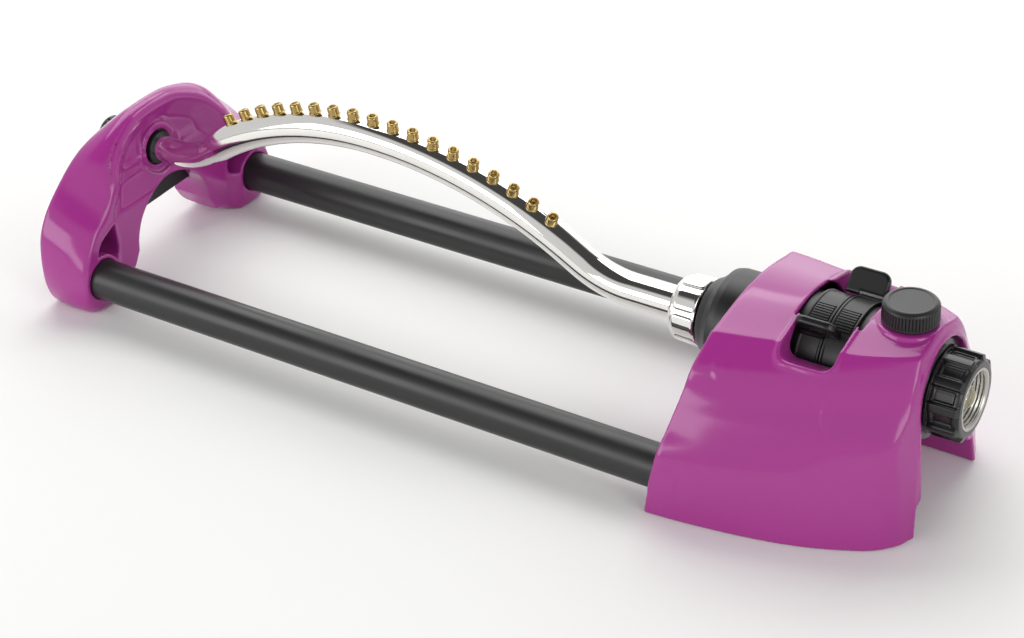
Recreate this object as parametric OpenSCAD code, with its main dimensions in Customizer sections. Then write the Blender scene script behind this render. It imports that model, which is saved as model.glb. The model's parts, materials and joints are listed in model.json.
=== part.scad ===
// Oscillating lawn sprinkler: a gear housing and an end bracket on two rails,
// with an arched spray tube that swings about a long axis between them.
// +X points at the hose inlet, +Z up; the origin is under the middle of the whole sprinkler.

/* [Whole sprinkler] */
// Length from the clean-out cap to the hose nut
overall_len = 516; // [510:1:530]
// Height of the swing axis above the ground
pivot_z = 64.5; // [64:0.1:65]
// Height of the hose inlet axis above the ground
inlet_z = 61; // [60:0.5:62]

/* [Rails] */
// Distance between the two rail centres
rail_gap = 133; // [132:0.5:133]
// Radius of a rail tube
rail_r = 11; // [10.5:0.1:11]
// Wall of a rail tube
rail_wall = 1.6; // [1:0.1:2.5]
// Height of the rail centres
rail_z = 19; // [18:0.5:20]

/* [Spray tube] */
// Outer radius of the spray tube
tube_r = 8.6; // [8:0.1:8.6]
// Outer radius of its drawn-down end
tube_end_r = 6.9; // [6.5:0.1:6.9]
// Wall of the spray tube
tube_wall = 1.2; // [0.8:0.1:1.5]
// Rise of the arch above the swing axis
arch_rise = 44.8; // [42:0.1:47]
// Place of the top of the arch along the sprinkler
arch_x = -76; // [-80:1:-70]
// Bend radius of the arch towards the end bracket
arch_r_left = 175; // [165:1:185]
// Bend radius of the arch towards the gear housing
arch_r_right = 230; // [215:1:240]
// Steepest slope towards the end bracket, in degrees
slope_left = 35; // [33:0.5:36]
// Steepest slope towards the gear housing, in degrees
slope_right = 30.5; // [29:0.5:32]

/* [Spray nozzles] */
// Number of nozzles along the arch
jet_count = 18; // [10:1:18]
// Distance between two nozzles along the tube
jet_pitch = 11.8; // [11:0.1:12]
// Radius of a nozzle
jet_r = 2.9; // [2.4:0.1:3]
// Height of a nozzle above the tube
jet_h = 4.8; // [4:0.1:5.5]
// Radius of the spray hole
jet_hole_r = 0.6; // [0.4:0.1:0.8]

/* [Gear housing] */
// Height of the top of the housing
case_top = 93.5; // [93:0.1:95]
// Height of the crease between top and side
crease_z = 88; // [87:0.1:89]
// Wall of the moulded shell
shell_wall = 2.4; // [2:0.1:2.5]
// Half width of the housing at the ground, rail end
foot_left = 80.5; // [80:0.5:82]
// Half width of the housing at the ground, inlet end
foot_right = 49; // [47:0.5:51]

/* [End bracket] */
// Depth of the bracket's legs along the rails
bracket_depth = 29; // [28:0.5:31]

/* [Motor] */
// Outer radius of the round motor case
motor_r = 26; // [25.8:0.1:26]
// Radius of the range rings
ring_r = 28; // [27.6:0.1:28.2]
// Gear module: pitch diameter over teeth
gear_m = 0.6; // [0.58:0.01:0.6]
// Teeth of a small gear
pinion_teeth = 12; // [12:1:12]
// Teeth of a large gear
wheel_teeth = 28; // [28:1:28]

/* [Controls] */
// Radius of the flow knob
knob_r = 13.5; // [12:0.5:14]
// Height of the flow knob
knob_h = 10.3; // [9:0.1:11]
// Angle of each range tab from upright, in degrees
tab_angle = 40; // [36:1:42]

/* [Hose inlet] */
// Radius of the hose thread in the swivel nut
thread_r = 13.2; // [13.2:0.1:13.4]
// Outer radius of the swivel nut
nut_r = 20.4; // [20:0.1:21]

/* [Hidden] */

// Colours
shell_colour = "#a0468c";
black_colour = "#242424";
rail_colour = "#333333";
steel_colour = "#b8b8b8";
chrome_colour = "#e4e4e2";
brass_colour = "#c8aa64";
gear_colour = "#e6e2d6";
rubber_colour = "#1c1c1c";
mesh_colour = "#96917a";
insert_colour = "#b9b8b2";
washer_colour = "#c9c4b4";

// Fits
run_fit = 0.05;   // radial play of a turning shaft in its hole
free_gap = 0.4;   // space between parts that pass each other
eps = 0.01;

// Places along the sprinkler
end_x = overall_len / 2;
housing_x0 = end_x - 130;      // rail face of the housing, at the ground
housing_x1 = end_x - 12;       // inlet face of the housing, at the ground
lean_left = 9;                 // lean of the rail face, degrees
lean_right = 5;                // lean of the inlet face, degrees
bracket_x0 = -end_x + 15;      // back of the bracket's legs
bracket_x1 = bracket_x0 + bracket_depth + 3;
rail_x0 = -end_x + 22;
rail_x1 = end_x - 118;

// Spray tube route in the XZ plane
run_out = 10;                  // straight stretch between two bends
arch_z = pivot_z + arch_rise;
drop_left = arch_r_left * (1 - cos(slope_left));
drop_right = arch_r_right * (1 - cos(slope_right));
bend_left = (arch_rise - drop_left - run_out * sin(slope_left)) / (1 - cos(slope_left));
bend_right = (arch_rise - drop_right - run_out * sin(slope_right)) / (1 - cos(slope_right));
bend_x_left = arch_x - (arch_r_left + bend_left) * sin(slope_left) - run_out * cos(slope_left);
bend_x_right = arch_x + (arch_r_right + bend_right) * sin(slope_right) + run_out * cos(slope_right);
seam_len = 1.2;
seam_rise = 0.12;
tube_x0 = -end_x + 15;
nut_x0 = end_x - 153.5;        // bracket side of the collar nut
nut_x1 = end_x - 138;
nut_body_r = 16.4;
nut_grip_r = 17;               // over the nut's flat-sided pads
flange_x = nut_x0 + 3.6;
flange_t = 2.4;
flange_r = 11;
seal_t = 1.2;
hub_x0 = flange_x + flange_t + seal_t;
first_jet = -92;               // first nozzle, along the tube from the top of the arch
jet_twist_first = 3;           // turn of the first and last nozzle about the tube, degrees
jet_twist_last = -13;
seat_d = 0.5;                  // depth of the flat seat under a nozzle
jet_stem_r = 1.6;

// Motor stack along the swing axis
cover_x0 = nut_x1 + 1;
cover_x1 = cover_x0 + 31;
case_x0 = cover_x1 + 1;
case_x1 = case_x0 + 57;
motor_wall = 2.4;
motor_in = motor_r - motor_wall;
journal_r = 9.5;
bearing_r = 11.5;
spigot_r = 11.4;
hub_r = 9;
axle_r = 1.2;
gear_gap = gear_m * (pinion_teeth + wheel_teeth) / 2;
jet_plate_x = case_x1 - 6.8;
jet_plate_t = 2.4;
rotor_x0 = jet_plate_x - 6.6;
rotor_r = 19.5;
rear_plate_x = case_x1 - 16.4;
front_plate_x = case_x1 - 38.5;
plate_t = 2.2;
wheel_t = 2.4;
wheel_a_x = rear_plate_x - 2.8;
wheel_b_x = wheel_a_x - 5;
wheel_c_x = wheel_b_x - 5.2;
wheel_out_x = wheel_c_x - 5.4;
pinion_len = 5.4;
side_z = pivot_z - gear_gap;

// Range rings and window
ring_a_x = end_x - 80.4;
ring_w = 12.4;
ring_b_x = ring_a_x + ring_w + free_gap;
ring_in = motor_r + 0.3;
window_x0 = ring_a_x - 1;
window_x1 = ring_b_x + ring_w + 1;
window_half = 68;              // half angle of the window about the swing axis
tab_r = 42;
tab_t = 4;
tab_w = 20.4;
well_r = 31;                   // inner edge of the window's well

// Flow valve
knob_x = end_x - 34.3;
knob_z = case_top + 0.5;
barrel_r = 10;
plug_r = 7;
stem_r = 3.5;
valve_low = inlet_z - 12;
valve_high = inlet_z + 21;
port_r = 5;

// Hose end
nut_back_x = end_x - 20.5;
lip_r = 10.6;
spigot_x1 = nut_back_x + 6;
washer_x = spigot_x1 + 0.3;
mouth_x = end_x;
thread_x = mouth_x - 6.8;      // inner end of the thread
relief_r = thread_r + 0.5;     // bore behind the thread, around the washer
insert_r = 15.4;
washer_t = 2.6;
screen_r = 9.6;                // outer radius of the strainer's rim
pocket_r = 25.6;               // round pocket around the swivel nut
pocket_x = case_x1 + 4.5;

// ---------- helpers ----------

// A solid or hollow round along X, on the swing axis unless z says otherwise
module round_x(x0, x1, r, z = pivot_z, y = 0) {
    translate([x0, y, z]) rotate([0, 90, 0]) cylinder(h = x1 - x0, r = r, $fn = 96);
}

module ring_x(x0, x1, r_out, r_in, z = pivot_z) {
    difference() {
        round_x(x0, x1, r_out, z);
        round_x(x0 - 1, x1 + 1, r_in, z);
    }
}

// Turns children, drawn upright on the swing axis, by an angle towards -Y
module around_axis(angle, z = pivot_z) {
    translate([0, 0, z]) rotate([angle, 0, 0]) children();
}

// Slab of a YZ outline: points are [y, z]
module slab(points, x, t) {
    translate([x, 0, 0]) rotate([90, 0, 90]) linear_extrude(t) polygon(points);
}

module o_ring(x, r_mid, r_wire, z = pivot_z) {
    translate([x, 0, z]) rotate([0, 90, 0])
        rotate_extrude($fn = 96) translate([r_mid, 0]) circle(r = r_wire, $fn = 32);
}

// Self-tapping screw that points up from its head's underside at [x, y, z]
module screw_up(x, y, z, len, r = 1.5, head_r = 2.8, head_t = 1.4) {
    translate([x, y, z]) {
        cylinder(h = len, r = r, $fn = 32);
        difference() {
            translate([0, 0, -head_t]) cylinder(h = head_t, r = head_r, $fn = 32);
            for (a = [0, 90]) rotate([0, 0, a])
                translate([-1.6, -0.35, -head_t - eps]) cube([3.2, 0.7, 0.8]);
        }
    }
}

// ---------- gears ----------

// One flank point of an involute tooth: roll in degrees, from the tooth's middle line
function inv_angle(roll) = roll - atan(roll * PI / 180);
function flank(base_r, half, roll) =
    let (r = base_r * sqrt(1 + pow(roll * PI / 180, 2)), a = half - inv_angle(roll))
    [r * cos(a), r * sin(a)];

function turned(p, a) = [p[0] * cos(a) - p[1] * sin(a), p[0] * sin(a) + p[1] * cos(a)];

// Outline of a spur gear with a tooth on its +X line
function gear_outline(teeth, m, play = 0.16, pressure = 25) =
    let (
        pitch_r = m * teeth / 2,
        base_r = pitch_r * cos(pressure),
        tip_r = pitch_r + 0.95 * m,
        root_r = pitch_r - 1.25 * m,
        pitch_roll = tan(pressure) * 180 / PI,
        tip_roll = sqrt(pow(tip_r / base_r, 2) - 1) * 180 / PI,
        half = 90 / teeth - play / 2 / pitch_r * 90 / PI + inv_angle(pitch_roll),
        steps = 4,
        side = [for (i = [0:steps]) flank(base_r, half, tip_roll * i / steps)],
        foot = [root_r * cos(half), root_r * sin(half)],
        upper = concat([foot], side),
        lower = [for (p = upper) [p[0], -p[1]]],
        tooth = concat(lower, [for (i = [len(upper) - 1:-1:0]) upper[i]])
    )
    [for (k = [0:teeth - 1], p = tooth) turned(p, k * 360 / teeth)];

// Spur gear along X about the height z; phase turns its first tooth from straight down
module spur_x(x0, x1, teeth, z, phase = 0) {
    translate([x0, 0, z]) rotate([0, 90, 0]) rotate([0, 0, phase])
        linear_extrude(x1 - x0) polygon(gear_outline(teeth, gear_m));
}

// Wheel and pinion in one piece on the axle at height z
module compound_gear(wheel_x, z, wheel_phase, pinion_phase) {
    difference() {
        union() {
            spur_x(wheel_x, wheel_x + wheel_t, wheel_teeth, z, wheel_phase);
            spur_x(wheel_x - pinion_len + 0.2, wheel_x, pinion_teeth, z, pinion_phase);
        }
        round_x(wheel_x - pinion_len - 1, wheel_x + wheel_t + 1, axle_r + run_fit, z);
    }
}

// ---------- gear housing ----------

// Side of the housing's cross-section, from the foot up to the crease: points [y, z]
function side_curve(foot, crease, low, high) =
    [for (t = [0:15:90]) [
        crease + (foot - crease) * pow(cos(t), 1.5),
        low + (high - low) * pow(sin(t), 1.5)]];

// Whole cross-section: feet, sides, creases and the crowned top
function case_section(foot, crease, top, high, low = 28) =
    let (
        side = side_curve(foot, crease, low, high),
        half = concat([[foot - 1.5, 0], [foot, 3]], side,
            [[crease * 0.66, high + (top - high) * 0.55], [crease * 0.3, high + (top - high) * 0.9]]),
        mirrored = [for (i = [len(half) - 1:-1:0]) [-half[i][0], half[i][1]]]
    ) concat(half, [[0, top]], mirrored);

// Outer form of the housing, drawn in by inset on all sides
module case_form(inset = 0) {
    t = 1;
    hull() {
        translate([housing_x0 + inset, 0, 0]) rotate([0, lean_left, 0])
            slab(case_section(foot_left - inset, 39 - inset, (case_top - inset) / cos(lean_left),
                (crease_z - inset) / cos(lean_left)), 0, t);
        slab(case_section(73 - inset, 36.5 - inset, case_top - inset, crease_z - inset),
            housing_x0 + 50, t);
        slab(case_section(66 - inset, 34 - inset, case_top - inset, crease_z - inset),
            housing_x0 + 78, t);
        translate([housing_x1 - inset, 0, 0]) rotate([0, -lean_right, 0])
            slab(case_section(foot_right - inset, 22 - inset, (case_top - inset) / cos(lean_right),
                (crease_z - inset) / cos(lean_right), 22), -t, t);
    }
}

// Wedge that the window cuts, grown by g
module window_wedge(g = 0) {
    reach = 75;
    half = window_half;
    side = g / sin(90 - (half - 45));
    slab([[0, pivot_z - side], [reach * sin(half) + g, pivot_z + reach * cos(half) - side],
          [reach, 130], [-reach, 130],
          [-reach * sin(half) - g, pivot_z + reach * cos(half) - side]],
        window_x0 - g, window_x1 - window_x0 + 2 * g);
}

// Arch around the swivel nut, open to the ground, grown by g
module pocket_arch(g = 0) {
    x0 = pocket_x - g;
    len = housing_x1 + 20 - x0;
    round_x(x0, x0 + len, pocket_r + g, inlet_z);
    slab([[-pocket_r - g, 16 - g], [-pocket_r - g, inlet_z], [pocket_r + g, inlet_z],
          [pocket_r + g, 16 - g]], x0, len);
    slab([[-34 - g, -1], [-31 - g, 16 + g], [31 + g, 16 + g], [34 + g, -1]], x0, len);
}

boss_places = [[housing_x0 + 26, 52], [housing_x0 + 80, 49]];

module gear_housing() {
    color(shell_colour)
    difference() {
        union() {
            difference() {
                case_form(0);
                translate([0, 0, -eps]) case_form(shell_wall);
            }
            intersection() {
                case_form(0);
                union() {
                    window_wedge(2);
                    pocket_arch(2.2);
                    for (s = [-1, 1]) {
                        round_x(housing_x0, rail_x1 + 3, rail_r + 2.4, rail_z, s * rail_gap / 2);
                        for (p = boss_places)
                            translate([p[0], s * p[1], 4.6]) cylinder(h = 90, r = 3.6, $fn = 32);
                    }
                }
            }
        }
        window_wedge(0);
        pocket_arch(0);
        // room for the motor and its rings
        round_x(housing_x0 - 5, pocket_x + 1, motor_r + 0.5);
        round_x(window_x0 - 3, window_x1 + 3, well_r);
        // rails and their screws
        for (s = [-1, 1]) {
            round_x(housing_x0 - 5, rail_x1, rail_r, rail_z, s * rail_gap / 2);
            translate([rail_x1 - 5, s * rail_gap / 2, -2]) cylinder(h = 18, r = 1.6, $fn = 32);
            for (p = boss_places)
                translate([p[0], s * p[1], 0]) cylinder(h = 16, r = 1.5, $fn = 32);
        }
        // stem of the flow knob
        translate([knob_x, 0, 70]) cylinder(h = 40, r = stem_r + 1, $fn = 48);
    }
}

// Flat plate under the housing, with two saddles that carry the motor
plate_z = 2;
plate_h = 2.4;

module base_plate() {
    half0 = foot_left - 6;
    half1 = 60;
    color(black_colour)
    difference() {
        union() {
            translate([0, 0, plate_z]) linear_extrude(plate_h)
                polygon([[housing_x0 + 4, -half0], [housing_x0 + 50, -66], [pocket_x - 4, -half1],
                    [pocket_x - 4, half1], [housing_x0 + 50, 66], [housing_x0 + 4, half0]]);
            for (x = [case_x0 + 2, case_x1 - 4.6])
                translate([x, -14, plate_z + plate_h - eps])
                    cube([3, 28, pivot_z - plate_z - plate_h - 12]);
        }
        round_x(case_x0, case_x1 + 1, motor_r);
        for (s = [-1, 1]) {
            translate([rail_x1 - 5, s * rail_gap / 2, 0]) cylinder(h = 10, r = 1.6, $fn = 32);
            for (p = boss_places)
                translate([p[0], s * p[1], 0]) cylinder(h = 10, r = 1.5, $fn = 32);
        }
    }
}

module base_screws() {
    color(steel_colour)
    for (s = [-1, 1], p = boss_places) screw_up(p[0], s * p[1], plate_z, 12);
}

// ---------- rails ----------

module rail(side) {
    color(rail_colour)
    difference() {
        round_x(rail_x0, rail_x1, rail_r, rail_z, side * rail_gap / 2);
        round_x(rail_x0 - 1, rail_x1 + 1, rail_r - rail_wall, rail_z, side * rail_gap / 2);
        for (x = [rail_x0 + 10, rail_x1 - 5])
            translate([x, side * rail_gap / 2, 0]) cylinder(h = rail_z, r = 1.6, $fn = 32);
    }
}

module rail_near() {
    rail(-1);
}

module rail_far() {
    rail(1);
}

module rail_screws() {
    color(steel_colour)
    for (s = [-1, 1]) {
        screw_up(rail_x1 - 5, s * rail_gap / 2, plate_z, 9, 1.6);
        screw_up(rail_x0 + 10, s * rail_gap / 2, 5.4, 5.6, 1.6);
    }
}

// ---------- end bracket ----------

// Points moved towards a centre, so that an outline gets smaller all round
function shrunk(points, inset, c) = [for (p = points) p + (c - p) / norm(c - p) * inset];

function both_sides(half) = concat(half, [for (i = [len(half) - 1:-1:0]) [-half[i][0], half[i][1]]]);

function on_side(side, points) = [for (p = points) [side * p[0], p[1]]];

leg_front = [[34, 60], [50, 61], [56, 57], [62, 51.5], [68, 47.5], [73, 41], [77, 35], [81, 26],
    [82.5, 17], [80, 8], [75, 2], [68, 0], [54, 0], [45, 5], [37, 20], [33, 40]];
leg_rear = [[33, 62], [66, 62], [72, 58], [77, 51], [81, 42], [82, 33], [82, 23], [80, 11],
    [75, 2], [68, 0.2], [54, 0.2], [45, 5], [37, 20], [34, 30]];
leg_mid = [58, 28];
dome_hinge = 66;               // height where the dome's front starts to lean back
lip_lean = 21;                 // lean of the dome's front lip, degrees
ridge_lean = 35;               // lean of its outer ridge
dome_base = [[50, 52], [50, 66], [0, 66]];
dome_lip = [[46, 66], [42, 73], [38, 78], [32, 83.3], [25, 87.6], [17, 90.6], [9, 92.5], [0, 93.2]];
dome_ridge = [[50.3, 66], [47, 72], [43, 78.4], [38, 83.5], [32, 87], [25, 90], [15, 92.8],
    [8, 94.2], [0, 94.6]];
dome_rear = [[78, 50], [70, 60], [57, 70], [46, 77.6], [34, 81], [15, 83], [0, 83.4]];
dome_mid = [0, 48];
back_lean = 2;                 // lean of the bracket's back, degrees

// Slab in the plane of the bracket's leaning back, ahead of it by x
module back_slab(points, x, t) {
    translate([bracket_x0 + x, 0, 0]) rotate([0, back_lean, 0]) slab(points, 0, t);
}

module leg_form(side, inset = 0) {
    front = bracket_x1 - inset;
    hull() {
        slab(on_side(side, shrunk(leg_front, inset + 2, leg_mid)), front - 1, 1);
        slab(on_side(side, shrunk(leg_front, inset, leg_mid)), front - 9, 4);
        back_slab(on_side(side, shrunk(leg_rear, inset, leg_mid)), 2.5, 1);
        back_slab(on_side(side, shrunk(leg_rear, inset + 2, leg_mid)), 0, 1);
    }
}

// Slab of the dome's front that leans back by a degrees above the hinge
module lean_slab(points, a, x, t) {
    tall = [for (p = points) [p[0], (p[1] - dome_hinge) / cos(a)]];
    translate([x, 0, dome_hinge]) rotate([0, -a, 0]) slab(tall, -t, t);
}

// Dome over the tube's end, drawn in by inset, its front set back by depth
module dome_form(inset = 0, depth = 0) {
    front = bracket_x1 - 1 - depth;
    hull() {
        slab(both_sides(shrunk(dome_base, inset, dome_mid)), front - 3, 1);
        lean_slab(both_sides(shrunk(dome_lip, inset, dome_mid)), lip_lean, front, 1);
        lean_slab(both_sides(shrunk(dome_ridge, inset, dome_mid)), ridge_lean, front, 1);
        back_slab(both_sides(shrunk(dome_rear, inset, dome_mid)), 2.5, 1);
        back_slab(both_sides(shrunk(dome_rear, inset + 2, dome_mid)), 0, 1);
    }
}

arch_gap = 31;                 // half width between the bracket's legs
arch_top = 48;
boss_r = 13.5;
bush_x0 = bracket_x1 - 26;
bush_x1 = bracket_x1 - 12;
carrier_r = 12.2;
frame_x0 = bracket_x1 - 20;
frame_t = 3.2;
frame_screw = [40, 43];        // place of a frame screw, [y, z]
plate_low = 30;                // lower edge of the cross plate

// Arch between the legs, grown by g
module bracket_gap(g = 0) {
    x0 = bracket_x0 - 10;
    len = bracket_x1 - bracket_x0 + 20;
    round_x(x0, x0 + len, arch_gap + g, arch_top - arch_gap);
    slab([[-arch_gap - g, 17], [arch_gap + g, 17], [arch_gap + 10 + g, -1], [-arch_gap - 10 - g, -1]],
        x0, len);
}

module end_bracket() {
    color(shell_colour)
    difference() {
        union() {
            difference() {
                union() {
                    dome_form();
                    for (s = [-1, 1]) leg_form(s);
                }
                difference() {
                    union() {
                        dome_form(shell_wall, 12);
                        for (s = [-1, 1]) leg_form(s, shell_wall);
                    }
                    bracket_gap(shell_wall);
                }
            }
            for (s = [-1, 1])
                round_x(frame_x0 + frame_t, bracket_x1 - 1, 4, frame_screw[1], s * frame_screw[0]);
        }
        bracket_gap();
        // slot in the arch wall for the cross plate
        translate([frame_x0 - free_gap, -48, plate_low - free_gap])
            cube([frame_t + free_gap, 96, arch_top + 5 - plate_low]);
        translate([bracket_x0 - 10, -carrier_r, arch_top])
            cube([frame_x0 - bracket_x0 + 10, 2 * carrier_r, 3.6]);
        // dished front, with a round pocket where the tube comes out
        translate([bracket_x1 + 46, 0, pivot_z + 4]) sphere(r = 60, $fn = 120);
        round_x(bracket_x1 - 12, bracket_x1 + 1, boss_r);
        round_x(bracket_x0 - 10, bracket_x1, boss_r - 1);
        for (s = [-1, 1]) {
            round_x(rail_x0 - 3, bracket_x1 + 1, rail_r, rail_z, s * rail_gap / 2);
            translate([rail_x0 + 10, s * rail_gap / 2, -2]) cylinder(h = 12, r = 3.2, $fn = 32);
            round_x(frame_x0, frame_x0 + 11, 1.5, frame_screw[1], s * frame_screw[0]);
        }
    }
}

// Black cross frame behind the bracket: rail sockets, cross plate and bush carrier
module bracket_frame() {
    color(black_colour)
    difference() {
        union() {
            slab([[-45, plate_low], [45, plate_low], [46, 50], [16, 58], [11, 76], [-11, 76],
                [-16, 58], [-46, 50]], frame_x0, frame_t);
            round_x(bush_x0, bush_x1 - 1.6, carrier_r);
            for (s = [-1, 1]) {
                round_x(frame_x0 + 3, frame_x0 + 13, rail_r + 0.8, rail_z, s * rail_gap / 2);
                slab([[s * 40, plate_low], [s * 60, 20], [s * 67, 31], [s * 45, 50]], frame_x0, frame_t);
            }
        }
        for (s = [-1, 1]) {
            round_x(rail_x0, rail_x0 + 20, rail_r, rail_z, s * rail_gap / 2);
            translate([rail_x0 + 10, s * rail_gap / 2, 0]) cylinder(h = 12, r = 1.6, $fn = 32);
            round_x(frame_x0 - 1, frame_x0 + frame_t + 1, 1.5, frame_screw[1], s * frame_screw[0]);
        }
        round_x(bush_x0 - 1, bush_x1, bush_r);
    }
}

module bracket_screws() {
    color(steel_colour)
    for (s = [-1, 1]) {
        round_x(frame_x0 - 1.4, frame_x0, 2.8, frame_screw[1], s * frame_screw[0]);
        round_x(frame_x0, frame_x0 + 10, 1.5, frame_screw[1], s * frame_screw[0]);
    }
}

bush_r = 11.2;
sleeve_r = 9;

module arm_bush() {
    color(black_colour) {
        ring_x(bush_x0, bush_x1 - 1.6, bush_r, sleeve_r + run_fit);
        ring_x(bush_x1 - 1.6, bush_x1, carrier_r, sleeve_r + run_fit);
    }
}

// ---------- motor ----------

lug_angles = [72, 132, -72, -132];
lug_at = 28.4;

module lugs(x0, x1, r) {
    for (a = lug_angles) around_axis(a) round_x(x0, x1, r, lug_at);
}

module motor_case() {
    color(black_colour)
    difference() {
        union() {
            round_x(case_x0, case_x1, motor_r);
            lugs(case_x0, case_x0 + 9, 3.4);
        }
        round_x(case_x0 - 1, case_x1 - 2.4, motor_in);
        round_x(case_x1 - 3, case_x1 + 1, 6.5, inlet_z);
        lugs(case_x0 - 1, case_x0 + 8, 1.4);
    }
}

// Front of the motor: a stepped snout around the hub bearing
module front_cover() {
    x = cover_x0;
    color(black_colour)
    difference() {
        union() {
            translate([0, 0, pivot_z]) rotate([0, 90, 0]) rotate_extrude($fn = 120)
                polygon([[bearing_r, x], [16, x], [20.3, x + 5.2], [20.9, x + 5.2], [25, x + 9.4],
                    [motor_r, x + 11], [motor_r, cover_x1], [motor_in, cover_x1],
                    [motor_in, x + 19], [12, x + 17.5], [bearing_r, x + 17.5]]);
            lugs(cover_x1 - 5, cover_x1, 3.4);
        }
        lugs(cover_x1 - 6, cover_x1 + 1, 1.6);
    }
}

module case_gasket() {
    color(rubber_colour) ring_x(cover_x1, case_x0, motor_r - 0.3, motor_in + 0.3);
}

module cover_screws() {
    color(steel_colour) {
        lugs(cover_x1 - 5, case_x0 + 7, 1.4);
        lugs(cover_x1 - 6.6, cover_x1 - 5, lug_at - motor_r - 0.2);
    }
}

module hub_bearing() {
    color(gear_colour) ring_x(cover_x0 + 0.6, cover_x0 + 15.6, bearing_r, journal_r + run_fit);
}

module front_gear_plate() {
    color(gear_colour)
    difference() {
        ring_x(front_plate_x, front_plate_x + plate_t, motor_in, hub_r + free_gap);
        round_x(front_plate_x - 1, front_plate_x + plate_t + 1, axle_r, side_z);
    }
}

module rear_gear_plate() {
    color(gear_colour)
    difference() {
        ring_x(rear_plate_x, rear_plate_x + plate_t, motor_in, 4.9);
        round_x(rear_plate_x - 1, rear_plate_x + plate_t + 1, axle_r, side_z);
        for (a = [60, 180, 300])
            around_axis(a) round_x(rear_plate_x - 1, rear_plate_x + plate_t + 1, 3, 17);
    }
}

// Slanted jets drive the rotor one way or the other
jet_ways = [0:60:300];

module jet_plate() {
    color(gear_colour)
    difference() {
        round_x(jet_plate_x, jet_plate_x + jet_plate_t, motor_in);
        round_x(jet_plate_x - 1, jet_plate_x + jet_plate_t + 1, axle_r);
        for (a = jet_ways) around_axis(a)
            translate([jet_plate_x + jet_plate_t / 2, 0, 13]) rotate([a % 120 == 0 ? 40 : -40, 0, 0])
                rotate([0, 90, 0]) rotate([a % 120 == 0 ? 35 : -35, 0, 0])
                    cylinder(h = 12, r = 1.3, center = true, $fn = 32);
    }
}

axle_x0 = wheel_out_x - 1.2;

module main_axle() {
    color(steel_colour) round_x(axle_x0, case_x1 - 2.7, axle_r);
}

module side_axle() {
    color(steel_colour) round_x(front_plate_x, rear_plate_x + plate_t, axle_r, side_z);
}

module turbine_rotor() {
    x0 = rotor_x0;
    color(gear_colour)
    difference() {
        union() {
            round_x(x0, x0 + 1.2, rotor_r);
            round_x(x0, x0 + 6, 5);
            for (a = [0:30:330]) around_axis(a)
                translate([x0 + 1, -0.5, 4]) cube([5, 1, rotor_r - 4.4]);
            spur_x(wheel_a_x, x0 + 0.1, pinion_teeth, pivot_z, 0);
        }
        round_x(wheel_a_x - 1, x0 + 8, axle_r + run_fit);
    }
}

wheel_half = 180 / wheel_teeth;

module gear_a() {
    color(gear_colour) compound_gear(wheel_a_x, side_z, 180 + wheel_half, 180);
}

module gear_b() {
    color(gear_colour) compound_gear(wheel_b_x, pivot_z, wheel_half, 0);
}

module gear_c() {
    color(gear_colour) compound_gear(wheel_c_x, side_z, 180 + wheel_half, 180);
}

gear_seat_r = 5;

module output_gear() {
    color(gear_colour)
    difference() {
        spur_x(wheel_out_x, wheel_out_x + wheel_t, wheel_teeth, pivot_z, wheel_half);
        round_x(wheel_out_x - 1, wheel_out_x + wheel_t + 1, gear_seat_r);
    }
}

// Hollow output shaft: threaded spigot, journal, ported tail and gear seat
module output_hub() {
    tail_x = wheel_out_x - 1.4;
    color(black_colour)
    difference() {
        union() {
            round_x(hub_x0, nut_x1 + 0.6, spigot_r);
            round_x(nut_x1, cover_x0 + 20, journal_r);
            round_x(cover_x0 + 19, tail_x, hub_r);
            round_x(tail_x - 1, wheel_out_x + wheel_t + 0.2, gear_seat_r);
        }
        round_x(hub_x0 - 1, tail_x - 8, 6);
        round_x(axle_x0 - 0.6, wheel_out_x + wheel_t + 1, axle_r + run_fit);
        for (a = [0, 90]) around_axis(a)
            translate([tail_x - 12, 0, 0]) cylinder(h = 40, r = 2, center = true, $fn = 32);
    }
}

module hub_seal() {
    color(rubber_colour) o_ring(cover_x0 + 16.9, journal_r + 0.95, 0.95);
}

// ---------- spray arm ----------

// Bend in the XZ plane about [cx, cz], from angle a0 through da degrees
module bend(cx, cz, radius, a0, da, r) {
    translate([cx, 0, cz]) rotate([90, 0, 0]) rotate([0, 0, a0])
        rotate_extrude(angle = da, $fn = 180) translate([radius, 0]) circle(r = r, $fn = 64);
}

// Straight stretch from [x, z], at a slope, that may taper
module stretch(x, z, slope, len, r0, r1) {
    translate([x, 0, z]) rotate([0, 90 - slope, 0]) cylinder(h = len, r1 = r0, r2 = r1, $fn = 64);
}

// Hair-thin band that holds two stretches together where their ends meet
module seam(x, z, slope, r) {
    translate([x, 0, z]) rotate([0, 90 - slope, 0])
        cylinder(h = seam_len, r = r + seam_rise, center = true, $fn = 64);
}

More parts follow.
